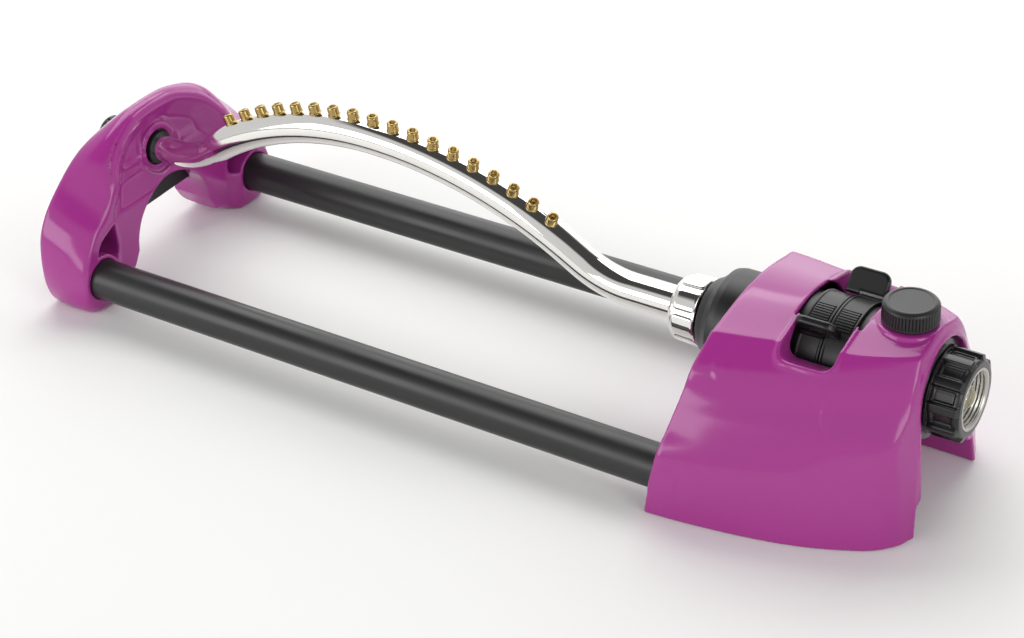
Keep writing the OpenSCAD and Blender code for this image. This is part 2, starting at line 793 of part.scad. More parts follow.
// The tube's route as one solid, drawn in by inset and made longer by over at both ends
module tube_route(inset, over = 0) {
    left = [arch_x - arch_r_left * sin(slope_left), arch_z - drop_left];
    low = left - run_out * [cos(slope_left), sin(slope_left)];
    right = [arch_x + arch_r_right * sin(slope_right), arch_z - drop_right];
    near = right + run_out * [cos(slope_right), -sin(slope_right)];
    r_end = tube_end_r - inset;
    r = tube_r - inset;
    stretch(tube_x0 - over, pivot_z, 0, bend_x_left - tube_x0 + over, r_end, r_end);
    seam(bend_x_left, pivot_z, 0, r_end);
    bend(bend_x_left, pivot_z + bend_left, bend_left, 270, slope_left, r_end);
    seam(low[0], low[1], slope_left, r_end);
    stretch(low[0], low[1], slope_left, run_out, r_end, r);
    seam(left[0], left[1], slope_left, r);
    bend(arch_x, arch_z - arch_r_left, arch_r_left, 90, slope_left, r);
    seam(arch_x, arch_z, 0, r);
    bend(arch_x, arch_z - arch_r_right, arch_r_right, 90 - slope_right, slope_right, r);
    seam(right[0], right[1], -slope_right, r);
    stretch(right[0], right[1], -slope_right, run_out, r, r);
    seam(near[0], near[1], -slope_right, r);
    bend(bend_x_right, pivot_z + bend_right, bend_right, 270 - slope_right, slope_right, r);
    seam(bend_x_right, pivot_z, 0, r);
    stretch(bend_x_right, pivot_z, 0, flange_x + flange_t - bend_x_right + over, r, r);
}

// Places children on the arch, s along it from its top: +Z out of the tube, +X along it
module on_arch(s) {
    radius = s < 0 ? arch_r_left : arch_r_right;
    slope = s / radius * 180 / PI;
    translate([arch_x, 0, arch_z - radius]) rotate([0, slope, 0]) translate([0, 0, radius]) children();
}

function jet_twist(i) = jet_twist_first + (jet_twist_last - jet_twist_first) * i / (jet_count - 1);

module at_jets() {
    for (i = [0:jet_count - 1])
        on_arch(first_jet + i * jet_pitch) rotate([-jet_twist(i), 0, 0]) children();
}

module spray_tube() {
    color(chrome_colour)
    difference() {
        union() {
            tube_route(0);
            round_x(flange_x, flange_x + flange_t, flange_r);
        }
        tube_route(tube_wall, 1);
        at_jets() {
            translate([0, 0, tube_r - seat_d]) cylinder(h = 3, r = jet_r, $fn = 32);
            translate([0, 0, tube_r - 3]) cylinder(h = 4, r = jet_stem_r, $fn = 32);
        }
    }
}

module jet_nozzles() {
    color(brass_colour)
    at_jets() difference() {
        union() {
            translate([0, 0, tube_r - seat_d]) cylinder(h = jet_h + seat_d - 0.4, r = jet_r, $fn = 32);
            translate([0, 0, tube_r + jet_h - 0.4 - eps])
                cylinder(h = 0.4 + eps, r1 = jet_r, r2 = jet_r - 0.4, $fn = 32);
            translate([0, 0, tube_r - tube_wall]) cylinder(h = 2, r = jet_stem_r, $fn = 32);
        }
        translate([0, 0, tube_r - 3]) cylinder(h = 12, r = jet_hole_r, $fn = 24);
        translate([0, 0, tube_r + jet_h - 1.1]) cylinder(h = 2, r = 1.3, $fn = 6);
    }
}

module collar_nut() {
    pads = 8;
    color(chrome_colour)
    difference() {
        union() {
            round_x(nut_x0 + 1.2, nut_x1, nut_body_r);
            translate([nut_x0, 0, pivot_z]) rotate([0, 90, 0])
                cylinder(h = 1.2, r1 = nut_body_r - 1.2, r2 = nut_body_r, $fn = 96);
            intersection() {
                round_x(nut_x0 + 2.6, nut_x1 - 2, nut_grip_r);
                for (i = [0:pads - 1]) around_axis(i * 360 / pads)
                    translate([nut_x0 + 2.6, -4.6, 10]) cube([20, 9.2, 8]);
            }
        }
        round_x(nut_x0 - 1, nut_x1 + 1, tube_r + 0.3);
        round_x(flange_x, nut_x1 + 1, spigot_r);
    }
}

module tube_seal() {
    color(rubber_colour) ring_x(flange_x + flange_t, hub_x0, flange_r, tube_r - tube_wall);
}

module end_sleeve() {
    color(black_colour) ring_x(tube_x0, bush_x1 + 3, sleeve_r, tube_end_r);
}

plug_r_stem = tube_end_r - tube_wall - 0.08;

// Cap on the tube's end that carries a needle for clearing the nozzles
module cleanout_plug() {
    cap_x1 = tube_x0 - 0.4;
    color(black_colour) {
        difference() {
            translate([0, 0, pivot_z]) rotate([0, 90, 0]) rotate_extrude($fn = 96)
                polygon([[0, -end_x], [5.5, -end_x], [8.6, -end_x + 1.2], [10, -end_x + 3.4],
                    [10, cap_x1], [0, cap_x1]]);
            for (a = [15:30:345]) around_axis(a)
                translate([-end_x + 4.5, 0, 10.5]) rotate([0, 90, 0]) cylinder(h = 20, r = 0.9, $fn = 24);
        }
        difference() {
            round_x(cap_x1 - eps, tube_x0 + 9, plug_r_stem);
            ring_x(tube_x0 + 5, tube_x0 + 7, 8, plug_r_stem - 1.1);
        }
    }
    color(steel_colour) round_x(tube_x0 + 8.9, tube_x0 + 28, 0.45);
}

module plug_seal() {
    color(rubber_colour) o_ring(tube_x0 + 6, plug_r_stem - 0.55, 0.5);
}

// ---------- range rings and reversing gear ----------

// Upright paddle with two round corners, w wide along X, from height z0 to z1
module paddle(x, w, t, z0, z1, r) {
    translate([x, -t / 2, z0]) cube([w, t, z1 - r - z0]);
    translate([x + r, -t / 2, z0]) cube([w - 2 * r, t, z1 - z0]);
    for (c = [x + r, x + w - r])
        translate([c, -t / 2, z1 - r]) rotate([-90, 0, 0]) cylinder(h = t, r = r, $fn = 48);
}

// Ring with a radial tab that reaches over its neighbour; side is -1 near, 1 far
module range_ring(ring_x, tab_x, side) {
    color(black_colour)
    difference() {
        union() {
            round_x(ring_x, ring_x + ring_w, ring_r);
            around_axis(-side * tab_angle) {
                paddle(tab_x, tab_w, tab_t, ring_r + free_gap, tab_r, 5);
                translate([ring_x, -tab_t / 2, ring_r - 1]) cube([ring_w, tab_t, 3]);
            }
        }
        round_x(ring_x - 1, ring_x + ring_w + 1, ring_in);
        // grip grooves between the tabs
        for (a = [8:4:48]) around_axis(side * (a - tab_angle))
            translate([ring_x + 1.6, -0.5, ring_r - 0.6]) cube([ring_w - 3.2, 1, 3]);
    }
}

module range_ring_near() {
    range_ring(ring_a_x, ring_a_x, -1);
}

module range_ring_far() {
    range_ring(ring_b_x, ring_b_x + ring_w - tab_w, 1);
}

yoke_x = case_x0 + 13;
trip_angle = 12;

// Yoke under the motor that the tabs' stops push over to reverse the swing
module reversing_yoke() {
    color(black_colour)
    difference() {
        ring_x(yoke_x, yoke_x + 9, ring_r + 0.4, ring_in);
        around_axis(-trip_angle / 2) {
            slab([[-60, 6], [60, 6], [60, 60], [-60, 60]], yoke_x - 1, 11);
            for (a = [108:12:252]) around_axis(a, 0)
                translate([yoke_x + 2, 0, ring_r + 0.6]) rotate([0, 90, 0])
                    cylinder(h = 5, r = 0.9, $fn = 24);
        }
    }
}

module diverter_flap() {
    x0 = jet_plate_x + jet_plate_t + 0.3;
    color(gear_colour)
    difference() {
        union() {
            round_x(x0, x0 + 1.2, 4);
            for (a = [0, 120, 240]) around_axis(a) translate([x0, -3, 0]) cube([1.2, 6, 17]);
        }
        round_x(x0 - 1, x0 + 3, axle_r + run_fit);
    }
}

// ---------- flow valve ----------

module inlet_body() {
    color(black_colour)
    difference() {
        union() {
            round_x(case_x1, case_x1 + 3, 22, inlet_z + 1);
            round_x(case_x1, nut_back_x - 1, 13, inlet_z);
            round_x(case_x1, nut_back_x + 3.6, lip_r - 0.4, inlet_z);
            round_x(nut_back_x + 3.5, spigot_x1, thread_r - 0.5, inlet_z);
            translate([knob_x, 0, valve_low])
                cylinder(h = valve_high - valve_low, r = barrel_r, $fn = 64);
        }
        round_x(case_x1 - 1, spigot_x1 + 1, 6.5, inlet_z);
        translate([knob_x, 0, valve_low + 2]) cylinder(h = 60, r = plug_r + run_fit, $fn = 64);
        round_x(case_x1 - 1, case_x1 + 1.2, 9, inlet_z);
    }
}

module inlet_seal() {
    color(rubber_colour) ring_x(case_x1, case_x1 + 1.2, 9, 6.6, inlet_z);
}

module valve_stem() {
    color(black_colour)
    difference() {
        union() {
            translate([knob_x, 0, valve_low + 2.2]) cylinder(h = 22, r = plug_r, $fn = 64);
            translate([knob_x, 0, valve_low + 20])
                cylinder(h = knob_z + 6 - valve_low - 20, r = stem_r, $fn = 48);
        }
        round_x(knob_x - 20, knob_x + 20, port_r, inlet_z);
        translate([knob_x, 0, valve_low + 21]) difference() {
            cylinder(h = 2, r = plug_r + 1, $fn = 64);
            translate([0, 0, -1]) cylinder(h = 4, r = plug_r - 1.35, $fn = 64);
        }
    }
}

// Gland pressed into the barrel's mouth to hold the stem down
module valve_gland() {
    color(black_colour) translate([knob_x, 0, valve_low + 24.6]) difference() {
        union() {
            cylinder(h = valve_high - valve_low - 24.6, r = plug_r + run_fit, $fn = 64);
            translate([0, 0, valve_high - valve_low - 24.6]) cylinder(h = 1.4, r = barrel_r - 1, $fn = 64);
        }
        translate([0, 0, -1]) cylinder(h = 20, r = stem_r + run_fit, $fn = 48);
    }
}

module stem_seal() {
    color(rubber_colour) translate([knob_x, 0, valve_low + 22])
        rotate_extrude($fn = 64) translate([plug_r - 0.7, 0]) circle(r = 0.6, $fn = 24);
}

module flow_knob() {
    flutes = 40;
    color(black_colour)
    difference() {
        translate([knob_x, 0, knob_z]) rotate_extrude($fn = 120)
            polygon([[0, 0], [knob_r - 0.2, 0], [knob_r, 0.8], [knob_r, knob_h - 2],
                [knob_r - 0.5, knob_h - 0.9], [knob_r - 1.6, knob_h - 0.4], [0, knob_h]]);
        translate([knob_x, 0, knob_z - 1]) cylinder(h = 7, r = stem_r, $fn = 48);
        for (i = [0:flutes - 1]) translate([knob_x, 0, knob_z + 0.8]) rotate([0, 0, i * 360 / flutes])
            translate([knob_r + 0.35, 0, 0]) cylinder(h = knob_h - 2.8, r = 0.7, $fn = 24);
    }
}

// ---------- hose connection ----------

module swivel_nut() {
    ribs = 10;
    color(black_colour)
    difference() {
        union() {
            round_x(nut_back_x, nut_back_x + 2, 24.4, inlet_z);
            round_x(nut_back_x + 1, mouth_x - 1, nut_r - 1, inlet_z);
            translate([mouth_x - 1 - eps, 0, inlet_z]) rotate([0, 90, 0])
                cylinder(h = 1, r1 = nut_r - 1, r2 = nut_r - 1.8, $fn = 96);
            for (i = [0:ribs - 1]) around_axis(i * 360 / ribs + 10, inlet_z)
                translate([nut_back_x + 1, -2.4, nut_r - 2]) cube([mouth_x - nut_back_x - 2.2, 4.8, 2.9]);
        }
        round_x(nut_back_x - 1, mouth_x + 1, lip_r, inlet_z);
        round_x(nut_back_x + 3.2, mouth_x + 1, relief_r, inlet_z);
        round_x(spigot_x1 + 0.4, mouth_x + 1, insert_r, inlet_z);
    }
}

module thread_insert() {
    color(insert_colour)
    difference() {
        ring_x(spigot_x1 + 0.4, mouth_x, insert_r, thread_r, inlet_z);
        round_x(spigot_x1, thread_x, relief_r, inlet_z);
    }
}

module hose_washer() {
    color(washer_colour) ring_x(washer_x, washer_x + washer_t, relief_r - 0.3, screen_r, inlet_z);
}

// Domed strainer in the washer's bore
module filter_screen() {
    dome_x = washer_x + washer_t - 0.2;
    dome_h = thread_x - 0.2 - dome_x;
    base = screen_r - 0.3;
    dome_r = (base * base + dome_h * dome_h) / (2 * dome_h);
    color(mesh_colour) {
        ring_x(washer_x, washer_x + washer_t, screen_r, screen_r - 1, inlet_z);
        translate([dome_x, 0, inlet_z]) rotate([0, 90, 0]) difference() {
            intersection() {
                translate([0, 0, dome_h - dome_r]) sphere(r = dome_r, $fn = 96);
                cylinder(h = 20, r = base, $fn = 96);
            }
            translate([0, 0, dome_h - dome_r]) sphere(r = dome_r - 0.6, $fn = 96);
        }
    }
}

gear_housing();
base_plate();
base_screws();
rail_near();
rail_far();
rail_screws();
end_bracket();
bracket_frame();
bracket_screws();
arm_bush();
motor_case();
front_cover();
case_gasket();
cover_screws();
hub_bearing();
front_gear_plate();
rear_gear_plate();
jet_plate();
main_axle();
side_axle();
inlet_body();
inlet_seal();
hose_washer();
filter_screen();
spray_tube();
jet_nozzles();
collar_nut();
tube_seal();
output_hub();
output_gear();
hub_seal();
end_sleeve();
cleanout_plug();
plug_seal();
turbine_rotor();
gear_a();
gear_b();
gear_c();
range_ring_near();
range_ring_far();
reversing_yoke();
diverter_flap();
flow_knob();
valve_stem();
valve_gland();
stem_seal();
swivel_nut();
thread_insert();
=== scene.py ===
"""Looks of an oscillating lawn sprinkler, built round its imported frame.

The classes hold the sprinkler's sizes in millimetres and build every piece in metres,
in the frame's own place. Moulded shells are shaped as distance fields, turned pieces as
lathe grids, and what repeats or follows a path as Geometry Nodes.
"""

import json
import logging
import math
from dataclasses import dataclass
from enum import Enum
from typing import Callable, Iterable, NamedTuple, Sequence

import bmesh
import bpy
import numpy as np
from bmesh.types import BMesh
from bpy.types import ID, Material, Mesh, Node, NodeSocket, NodeTree, Object
from mathutils import Matrix, Vector


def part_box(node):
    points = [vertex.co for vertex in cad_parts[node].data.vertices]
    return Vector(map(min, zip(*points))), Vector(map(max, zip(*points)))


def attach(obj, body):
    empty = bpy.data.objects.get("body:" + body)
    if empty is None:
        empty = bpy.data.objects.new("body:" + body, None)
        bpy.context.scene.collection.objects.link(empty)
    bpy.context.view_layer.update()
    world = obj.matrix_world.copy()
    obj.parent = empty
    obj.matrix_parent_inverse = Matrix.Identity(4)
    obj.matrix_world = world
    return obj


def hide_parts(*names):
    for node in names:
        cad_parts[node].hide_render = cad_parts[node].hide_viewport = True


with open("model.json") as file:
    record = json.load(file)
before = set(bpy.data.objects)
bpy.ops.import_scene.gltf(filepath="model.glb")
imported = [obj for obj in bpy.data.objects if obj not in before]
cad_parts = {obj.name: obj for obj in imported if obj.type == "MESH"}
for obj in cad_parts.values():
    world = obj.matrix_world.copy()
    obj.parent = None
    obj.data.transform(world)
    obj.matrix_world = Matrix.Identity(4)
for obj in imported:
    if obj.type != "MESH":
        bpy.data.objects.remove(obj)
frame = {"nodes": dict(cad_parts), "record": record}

LOG = logging.getLogger("sprinkler")
MM = 0.001
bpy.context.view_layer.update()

Point = tuple[float, float]
Array = np.ndarray


class Body(Enum):
    """The frame's moving bodies that pieces ride on."""

    BASE = "base"
    ARM = "arm"
    CLEANOUT = "cleanout"
    RANGE_NEAR = "range_near"
    RANGE_FAR = "range_far"
    FLOW = "flow_valve"
    HOSE_NUT = "hose_nut"


class Slot(Enum):
    """The record's material slots."""

    SHELL = "purple_shell"
    BLACK = "black_plastic"
    RAIL = "rail_paint"
    CHROME = "chrome_plate"
    BRASS = "brass"
    STEEL = "steel"
    GEAR = "gear_plastic"
    SEAL = "seal_rubber"
    WASHER = "washer_rubber"
    THREAD = "thread_metal"
    MESH = "filter_mesh"


class Span(NamedTuple):
    """A frame node's box at rest, in millimetres."""

    low: list[float]
    middle: list[float]
    high: list[float]


def span(node: str) -> Span:
    """Reads a frame node's box, to the hundredth of a millimetre."""
    low, high = ([round(float(value) / MM, 2) for value in corner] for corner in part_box(node))
    return Span(low, [round((a + b) / 2, 2) for a, b in zip(low, high)], high)


# Boxes that the pieces take their places from, and the heights of the arm's and the inlet's axes.
HOUSING, BRACKET = span("gear_housing"), span("end_bracket")
TUBE, COLLAR, COVER = span("spray_tube"), span("collar_nut"), span("front_cover")
KNOB, NUT, INSERT, PLUG = span("flow_knob"), span("swivel_nut"), span("thread_insert"), span("cleanout_plug")
RAIL, RING_NEAR, RING_FAR = span("rail_far"), span("range_ring_near"), span("range_ring_far")
AXIS_Z, INLET_Z = COLLAR.middle[2], INSERT.middle[2]


# ---------------------------------------------------------------- colours and nodes


def linear(code: str) -> tuple[float, float, float, float]:
    """Turns a colour written as sRGB hex into linear light.

    Args:
        code: Six hex digits, with or without a leading hash.

    Returns:
        Red, green, blue and an alpha of 1.
    """
    digits = code.lstrip("#")
    shares = [int(digits[i : i + 2], 16) / 255 for i in (0, 2, 4)]
    light = [s / 12.92 if s <= 0.04045 else ((s + 0.055) / 1.055) ** 2.4 for s in shares]
    return (light[0], light[1], light[2], 1.0)


def add_node(tree: NodeTree, kind: str, inputs: dict | None = None, **settings) -> Node:
    """Adds one node, with its settings, its input values and its links.

    Args:
        tree: Tree that gets the node.
        kind: The node's type name.
        inputs: Value or output socket for each input, by name or number.
        **settings: The node's own properties.

    Returns:
        The new node.
    """
    made = tree.nodes.new(kind)
    for name, value in settings.items():
        setattr(made, name, value)
    for key, value in (inputs or {}).items():
        if isinstance(value, NodeSocket):
            tree.links.new(value, made.inputs[key])
        else:
            made.inputs[key].default_value = value
    return made


# ---------------------------------------------------------------- finishes


@dataclass(frozen=True)
class Finish:
    """What every finish shares: a colour that drifts a little and an uneven sheen."""

    name: str
    colour: str
    roughness: float
    second: str = ""
    ior: float = 1.5
    metallic: float = 0.0
    cloud_mm: float = 25.0
    drift: float = 0.04
    grain_mm: float = 0.6
    grain_depth_mm: float = 0.0
    wave_mm: float = 9.0
    wave_depth_mm: float = 0.0

    def material(self) -> Material:
        """Returns the material, which is built the first time it is asked for."""
        return bpy.data.materials.get(self.name) or self.build()

    def build(self) -> Material:
        """Builds the nodes: colour clouds, uneven roughness, moulding wave and grain.

        Returns:
            The finished material.
        """
        made = bpy.data.materials.new(self.name)
        made.use_nodes = True
        tree = made.node_tree
        shader = tree.nodes["Principled BSDF"]
        place = add_node(tree, "ShaderNodeTexCoord").outputs["Object"]
        clouds = add_node(
            tree, "ShaderNodeTexNoise", {"Vector": place, "Scale": 1 / (self.cloud_mm * MM), "Detail": 3.0}
        ).outputs["Fac"]
        mixed = add_node(
            tree,
            "ShaderNodeMix",
            {0: clouds, 6: linear(self.colour), 7: linear(self.second or self.colour)},
            data_type="RGBA",
        )
        tree.links.new(mixed.outputs[2], shader.inputs["Base Color"])
        sheen = add_node(
            tree,
            "ShaderNodeMapRange",
            {
                "Value": clouds,
                "From Min": 0.3,
                "From Max": 0.7,
                "To Min": max(self.roughness - self.drift, 0.02),
                "To Max": self.roughness + self.drift,
            },
        )
        tree.links.new(sheen.outputs["Result"], shader.inputs["Roughness"])
        shader.inputs["Metallic"].default_value = self.metallic
        if not self.metallic:
            shader.inputs["IOR"].default_value = self.ior
        self.relief(tree, shader, place)
        return made

    def relief(self, tree: NodeTree, shader: Node, place: NodeSocket) -> None:
        """Adds the soft moulding wave and the fine grain as bump.

        Args:
            tree: The material's tree.
            shader: Its surface shader.
            place: Object coordinates.
        """
        normal = None
        for size, depth in ((self.wave_mm, self.wave_depth_mm), (self.grain_mm, self.grain_depth_mm)):
            if depth <= 0:
                continue
            noise = add_node(tree, "ShaderNodeTexNoise", {"Vector": place, "Scale": 1 / (size * MM), "Detail": 2.0})
            inputs = {"Height": noise.outputs["Fac"], "Distance": depth * MM, "Strength": 1.0}
            if normal is not None:
                inputs["Normal"] = normal
            normal = add_node(tree, "ShaderNodeBump", inputs).outputs["Normal"]
        if normal is not None:
            tree.links.new(normal, shader.inputs["Normal"])


@dataclass(frozen=True)
class TurnedMetal(Finish):
    """Metal cut on a lathe: fine rings round the axis it was turned about."""

    ring_mm: float = 0.35
    ring_depth_mm: float = 0.01
    axis: str = "X"
    wave_rate: float = 20.0

    def relief(self, tree: NodeTree, shader: Node, place: NodeSocket) -> None:
        """Adds the tool's rings as bands along the turning axis, wave_rate of them per unit of scale."""
        rings = add_node(
            tree,
            "ShaderNodeTexWave",
            {"Vector": place, "Scale": 1 / (self.ring_mm * MM) / self.wave_rate, "Distortion": 0.6, "Detail": 1.0},
            bands_direction=self.axis,
        )
        bump = add_node(tree, "ShaderNodeBump", {"Height": rings.outputs["Fac"], "Distance": self.ring_depth_mm * MM})
        tree.links.new(bump.outputs["Normal"], shader.inputs["Normal"])


# ABS, injection moulded in a polished tool: deep colour under a clear even gloss,
# with the slow waviness that a large moulding shows in its reflections.
SHELL_ABS = Finish(
    "polished_purple_abs", "#a3328a", 0.13, second="#9f2f86", ior=1.53, drift=0.015,
    cloud_mm=60, wave_mm=45, wave_depth_mm=0.05, grain_mm=1.2, grain_depth_mm=0.0006,
)
# Polypropylene from a spark-eroded tool: soft grey-black sheen with a fine grain.
# The real grain is about 0.1 mm; it is drawn at 0.5 mm so that it shows.
BLACK_PP = Finish(
    "grained_black_polypropylene", "#171718", 0.38, second="#1e1e1f", ior=1.49, drift=0.05,
    cloud_mm=30, grain_mm=0.5, grain_depth_mm=0.012,
)
# The same plastic where a hand or the tool's parting has polished it.
BLACK_PP_SMOOTH = Finish(
    "worn_black_polypropylene", "#121213", 0.25, second="#181819", ior=1.49, drift=0.06,
    cloud_mm=18, wave_mm=14, wave_depth_mm=0.02,
)
# Steel tube under baked black enamel: satin, with a faint orange peel.
RAIL_ENAMEL = Finish(
    "baked_black_enamel", "#1e1e1e", 0.34, second="#242424", drift=0.05,
    cloud_mm=40, wave_mm=2.4, wave_depth_mm=0.012, grain_mm=0.6, grain_depth_mm=0.003,
)
# Bright chrome on polished tube: near white, mirror-like, with faint polishing drift.
CHROME_PLATE = Finish(
    "bright_chrome_plate", "#f1efec", 0.06, second="#eae8e4", metallic=1.0, drift=0.02,
    cloud_mm=22, wave_mm=30, wave_depth_mm=0.008,
)
# Free-cutting brass, turned and left bare: warm yellow with fine tool rings.
TURNED_BRASS = TurnedMetal(
    "turned_brass", "#b9a067", 0.24, second="#a28a55", metallic=1.0, drift=0.06,
    cloud_mm=3, ring_mm=0.5, ring_depth_mm=0.01, axis="Z",
)
# Zinc casting with a cut thread: dull silver.
CAST_ZINC = TurnedMetal(
    "machined_zinc_casting", "#c2c0ba", 0.3, second="#aaa8a2", metallic=1.0, drift=0.06,
    cloud_mm=4, ring_mm=0.4, ring_depth_mm=0.008,
)
# Zinc-plated steel screws and pins: cool grey, slightly cloudy.
PLATED_STEEL = Finish(
    "zinc_plated_steel", "#bcbcba", 0.28, second="#a6a6a8", metallic=1.0, drift=0.07,
    cloud_mm=4, grain_mm=0.4, grain_depth_mm=0.004,
)
# Stainless wire of the strainer: grey with a brown cast.
WIRE = Finish(
    "woven_stainless_wire", "#c9c4ad", 0.34, second="#b2ad97", metallic=1.0, drift=0.06,
    cloud_mm=3, grain_mm=0.5, grain_depth_mm=0.004,
)
# Unfilled acetal gears: waxy off-white, a little glow at thin edges.
NATURAL_ACETAL = Finish(
    "natural_acetal", "#e2ddcf", 0.38, second="#dcd6c6", ior=1.48, drift=0.04,
    cloud_mm=12, grain_mm=0.8, grain_depth_mm=0.004,
)
# Nitrile seals: dead black, matt.
NITRILE = Finish(
    "nitrile_rubber", "#161616", 0.62, second="#1c1c1c", ior=1.52, drift=0.05,
    cloud_mm=6, grain_mm=0.5, grain_depth_mm=0.01,
)
# Pale pressed washer: matt and chalky.
PALE_RUBBER = Finish(
    "pale_washer_rubber", "#c9c4b4", 0.7, second="#bcb6a4", drift=0.05,
    cloud_mm=5, grain_mm=0.6, grain_depth_mm=0.012,
)

SLOT_FINISH = {
    Slot.SHELL: SHELL_ABS,
    Slot.BLACK: BLACK_PP,
    Slot.RAIL: RAIL_ENAMEL,
    Slot.CHROME: CHROME_PLATE,
    Slot.BRASS: TURNED_BRASS,
    Slot.STEEL: PLATED_STEEL,
    Slot.GEAR: NATURAL_ACETAL,
    Slot.SEAL: NITRILE,
    Slot.WASHER: PALE_RUBBER,
    Slot.THREAD: CAST_ZINC,
    Slot.MESH: WIRE,
}


# ---------------------------------------------------------------- pieces


def placed(name: str, data: ID) -> Object:
    """Puts a new object for some data into the scene."""
    made = bpy.data.objects.new(name, data)
    bpy.context.scene.collection.objects.link(made)
    return made


def new_mesh(name: str, points: Array, faces: Sequence[Sequence[int]], edges: Sequence = ()) -> Mesh:
    """Makes a mesh from points in millimetres.

    Args:
        name: The mesh's name.
        points: N x 3 points.
        faces: Corner numbers of each face.
        edges: Loose edges.

    Returns:
        The mesh, in metres.
    """
    mesh = bpy.data.meshes.new(name)
    mesh.from_pydata((np.asarray(points, float) * MM).tolist(), list(edges), [list(f) for f in faces])
    mesh.update()
    return mesh


def settle(
    name: str,
    mesh: Mesh,
    finish: Finish,
    body: Body,
    stands_for: Iterable[str] = (),
) -> Object:
    """Turns a finished mesh into a smooth-shaded piece that rides on its body.

    Args:
        name: The piece's name.
        mesh: Its mesh, in place.
        finish: Its finish.
        body: The body that it rides on.
        stands_for: Frame nodes that it stands for.

    Returns:
        The piece.
    """
    piece = placed(name, mesh)
    mesh.materials.clear()
    mesh.materials.append(finish.material())
    mesh.polygons.foreach_set("use_smooth", [True] * len(mesh.polygons))
    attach(piece, body.value)
    nodes = list(stands_for)
    if nodes:
        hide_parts(*nodes)
    LOG.info("%s: %d faces on %s, for %s", name, len(mesh.polygons), body.value, nodes or "detail")
    return piece


def creased(mesh: Mesh, angle: float = 32.0) -> Mesh:
    """Marks edges sharper than an angle, in degrees, so that smooth shading stops there."""
    mesh.polygons.foreach_set("use_smooth", [True] * len(mesh.polygons))
    mesh.set_sharp_from_angle(angle=math.radians(angle))
    return mesh


def evaluated(mesh: Mesh, set_up: Callable[[Object], None]) -> Mesh:
    """Runs modifiers on a mesh and keeps the result.

    Args:
        mesh: Mesh to start from.
        set_up: Adds the modifiers to the object that holds the mesh.

    Returns:
        The plain mesh that results.
    """
    holder = placed("holder", mesh)
    set_up(holder)
    seen = holder.evaluated_get(bpy.context.evaluated_depsgraph_get())
    made = bpy.data.meshes.new_from_object(seen)
    bpy.data.objects.remove(holder)
    return made


def reworked(meshes: Sequence[Mesh], change: Callable[[BMesh], None] | None = None) -> Mesh:
    """Joins plain meshes into one and may change it.

    Args:
        meshes: Meshes in the same frame.
        change: Edits the joined mesh in place.

    Returns:
        One new mesh.
    """
    work = bmesh.new()
    for mesh in meshes:
        work.from_mesh(mesh)
    if change is not None:
        change(work)
    made = bpy.data.meshes.new("reworked")
    work.to_mesh(made)
    work.free()
    return made


# ---------------------------------------------------------------- turned pieces


def lathe(
    profile: Sequence[Point],
    steps: int,
    centre: tuple[float, float, float],
    axis: str = "X",
    swell: Callable[[Array, Array, Array], Array] | None = None,
) -> Mesh:
    """Turns a closed profile about an axis.

    Args:
        profile: Closed loop of (along, radius) points in millimetres, with outside to the left
            of the way it runs from low to high along the axis.
        steps: Steps round the axis.
        centre: Point on the axis that the profile's place is counted from.
        axis: "X" or "Z".
        swell: Gives what is added to the radius from the along, radius and angle arrays.

    Returns:
        A closed mesh.
    """
    rows = np.array(profile, float)
    turns = np.arange(steps) * 2 * math.pi / steps
    along = np.repeat(rows[:, 0], steps)
    radius = np.repeat(rows[:, 1], steps)
    angle = np.tile(turns, len(rows))
    if swell is not None:
        radius = radius + swell(along, radius, angle)
    across, up = radius * np.sin(angle), radius * np.cos(angle)
    points = np.stack([along, across, up] if axis == "X" else [across, up, along], 1) + np.array(centre)
    faces = []
    for i in range(len(rows)):
        k = (i + 1) % len(rows)
        for j in range(steps):
            n = (j + 1) % steps
            faces.append((i * steps + j, i * steps + n, k * steps + n, k * steps + j))
    return reworked([new_mesh("turned", points, faces)], clean)


def clean(work: BMesh) -> None:
    """Merges doubles, drops flat faces and points every face outwards."""
    bmesh.ops.remove_doubles(work, verts=work.verts, dist=2e-6)
    bmesh.ops.dissolve_degenerate(work, edges=work.edges, dist=1e-6)
    bmesh.ops.recalc_face_normals(work, faces=work.faces)


def filleted(corners: Sequence[tuple[float, float, float]], bend_steps: int = 5) -> list[Point]:
    """Rounds the corners of a closed profile.

    Args:
        corners: (along, radius, rounding) for each corner.
        bend_steps: Points along each rounded corner.

    Returns:
        The profile's points.
    """
    made: list[Point] = []
    count = len(corners)
    for i, (a, r, size) in enumerate(corners):
        here = np.array([a, r])
        before = np.array(corners[i - 1][:2]) - here
        after = np.array(corners[(i + 1) % count][:2]) - here
        room = min(np.linalg.norm(before), np.linalg.norm(after)) * 0.49
        size = min(size, room)
        if size < 1e-3:
            made.append((a, r))
            continue
        start = here + before / np.linalg.norm(before) * size
        end = here + after / np.linalg.norm(after) * size
        for t in np.linspace(0, 1, bend_steps):
            p = start * (1 - t) ** 2 + here * 2 * t * (1 - t) + end * t * t
            made.append((float(p[0]), float(p[1])))
    return made


def refined(profile: Sequence[Point], pieces: int, longest: float, beyond: float) -> list[Point]:
    """Splits the long outer runs of a closed profile, so that a swell has rows to bend.

    Args:
        profile: Closed loop of (along, radius) points.
        pieces: Pieces that a long run is split into.
        longest: Length along the axis that a run may keep.
        beyond: Radius up to which runs stay whole.

    Returns:
        The profile with the added points.
    """
    made: list[Point] = []
    for i, (a, r) in enumerate(profile):
        a1, r1 = profile[(i + 1) % len(profile)]
        split = pieces if abs(a1 - a) > longest and r > beyond else 1
        made += [(a + (a1 - a) * k / split, r + (r1 - r) * k / split) for k in range(split)]
    return made


# ---------------------------------------------------------------- geometry nodes


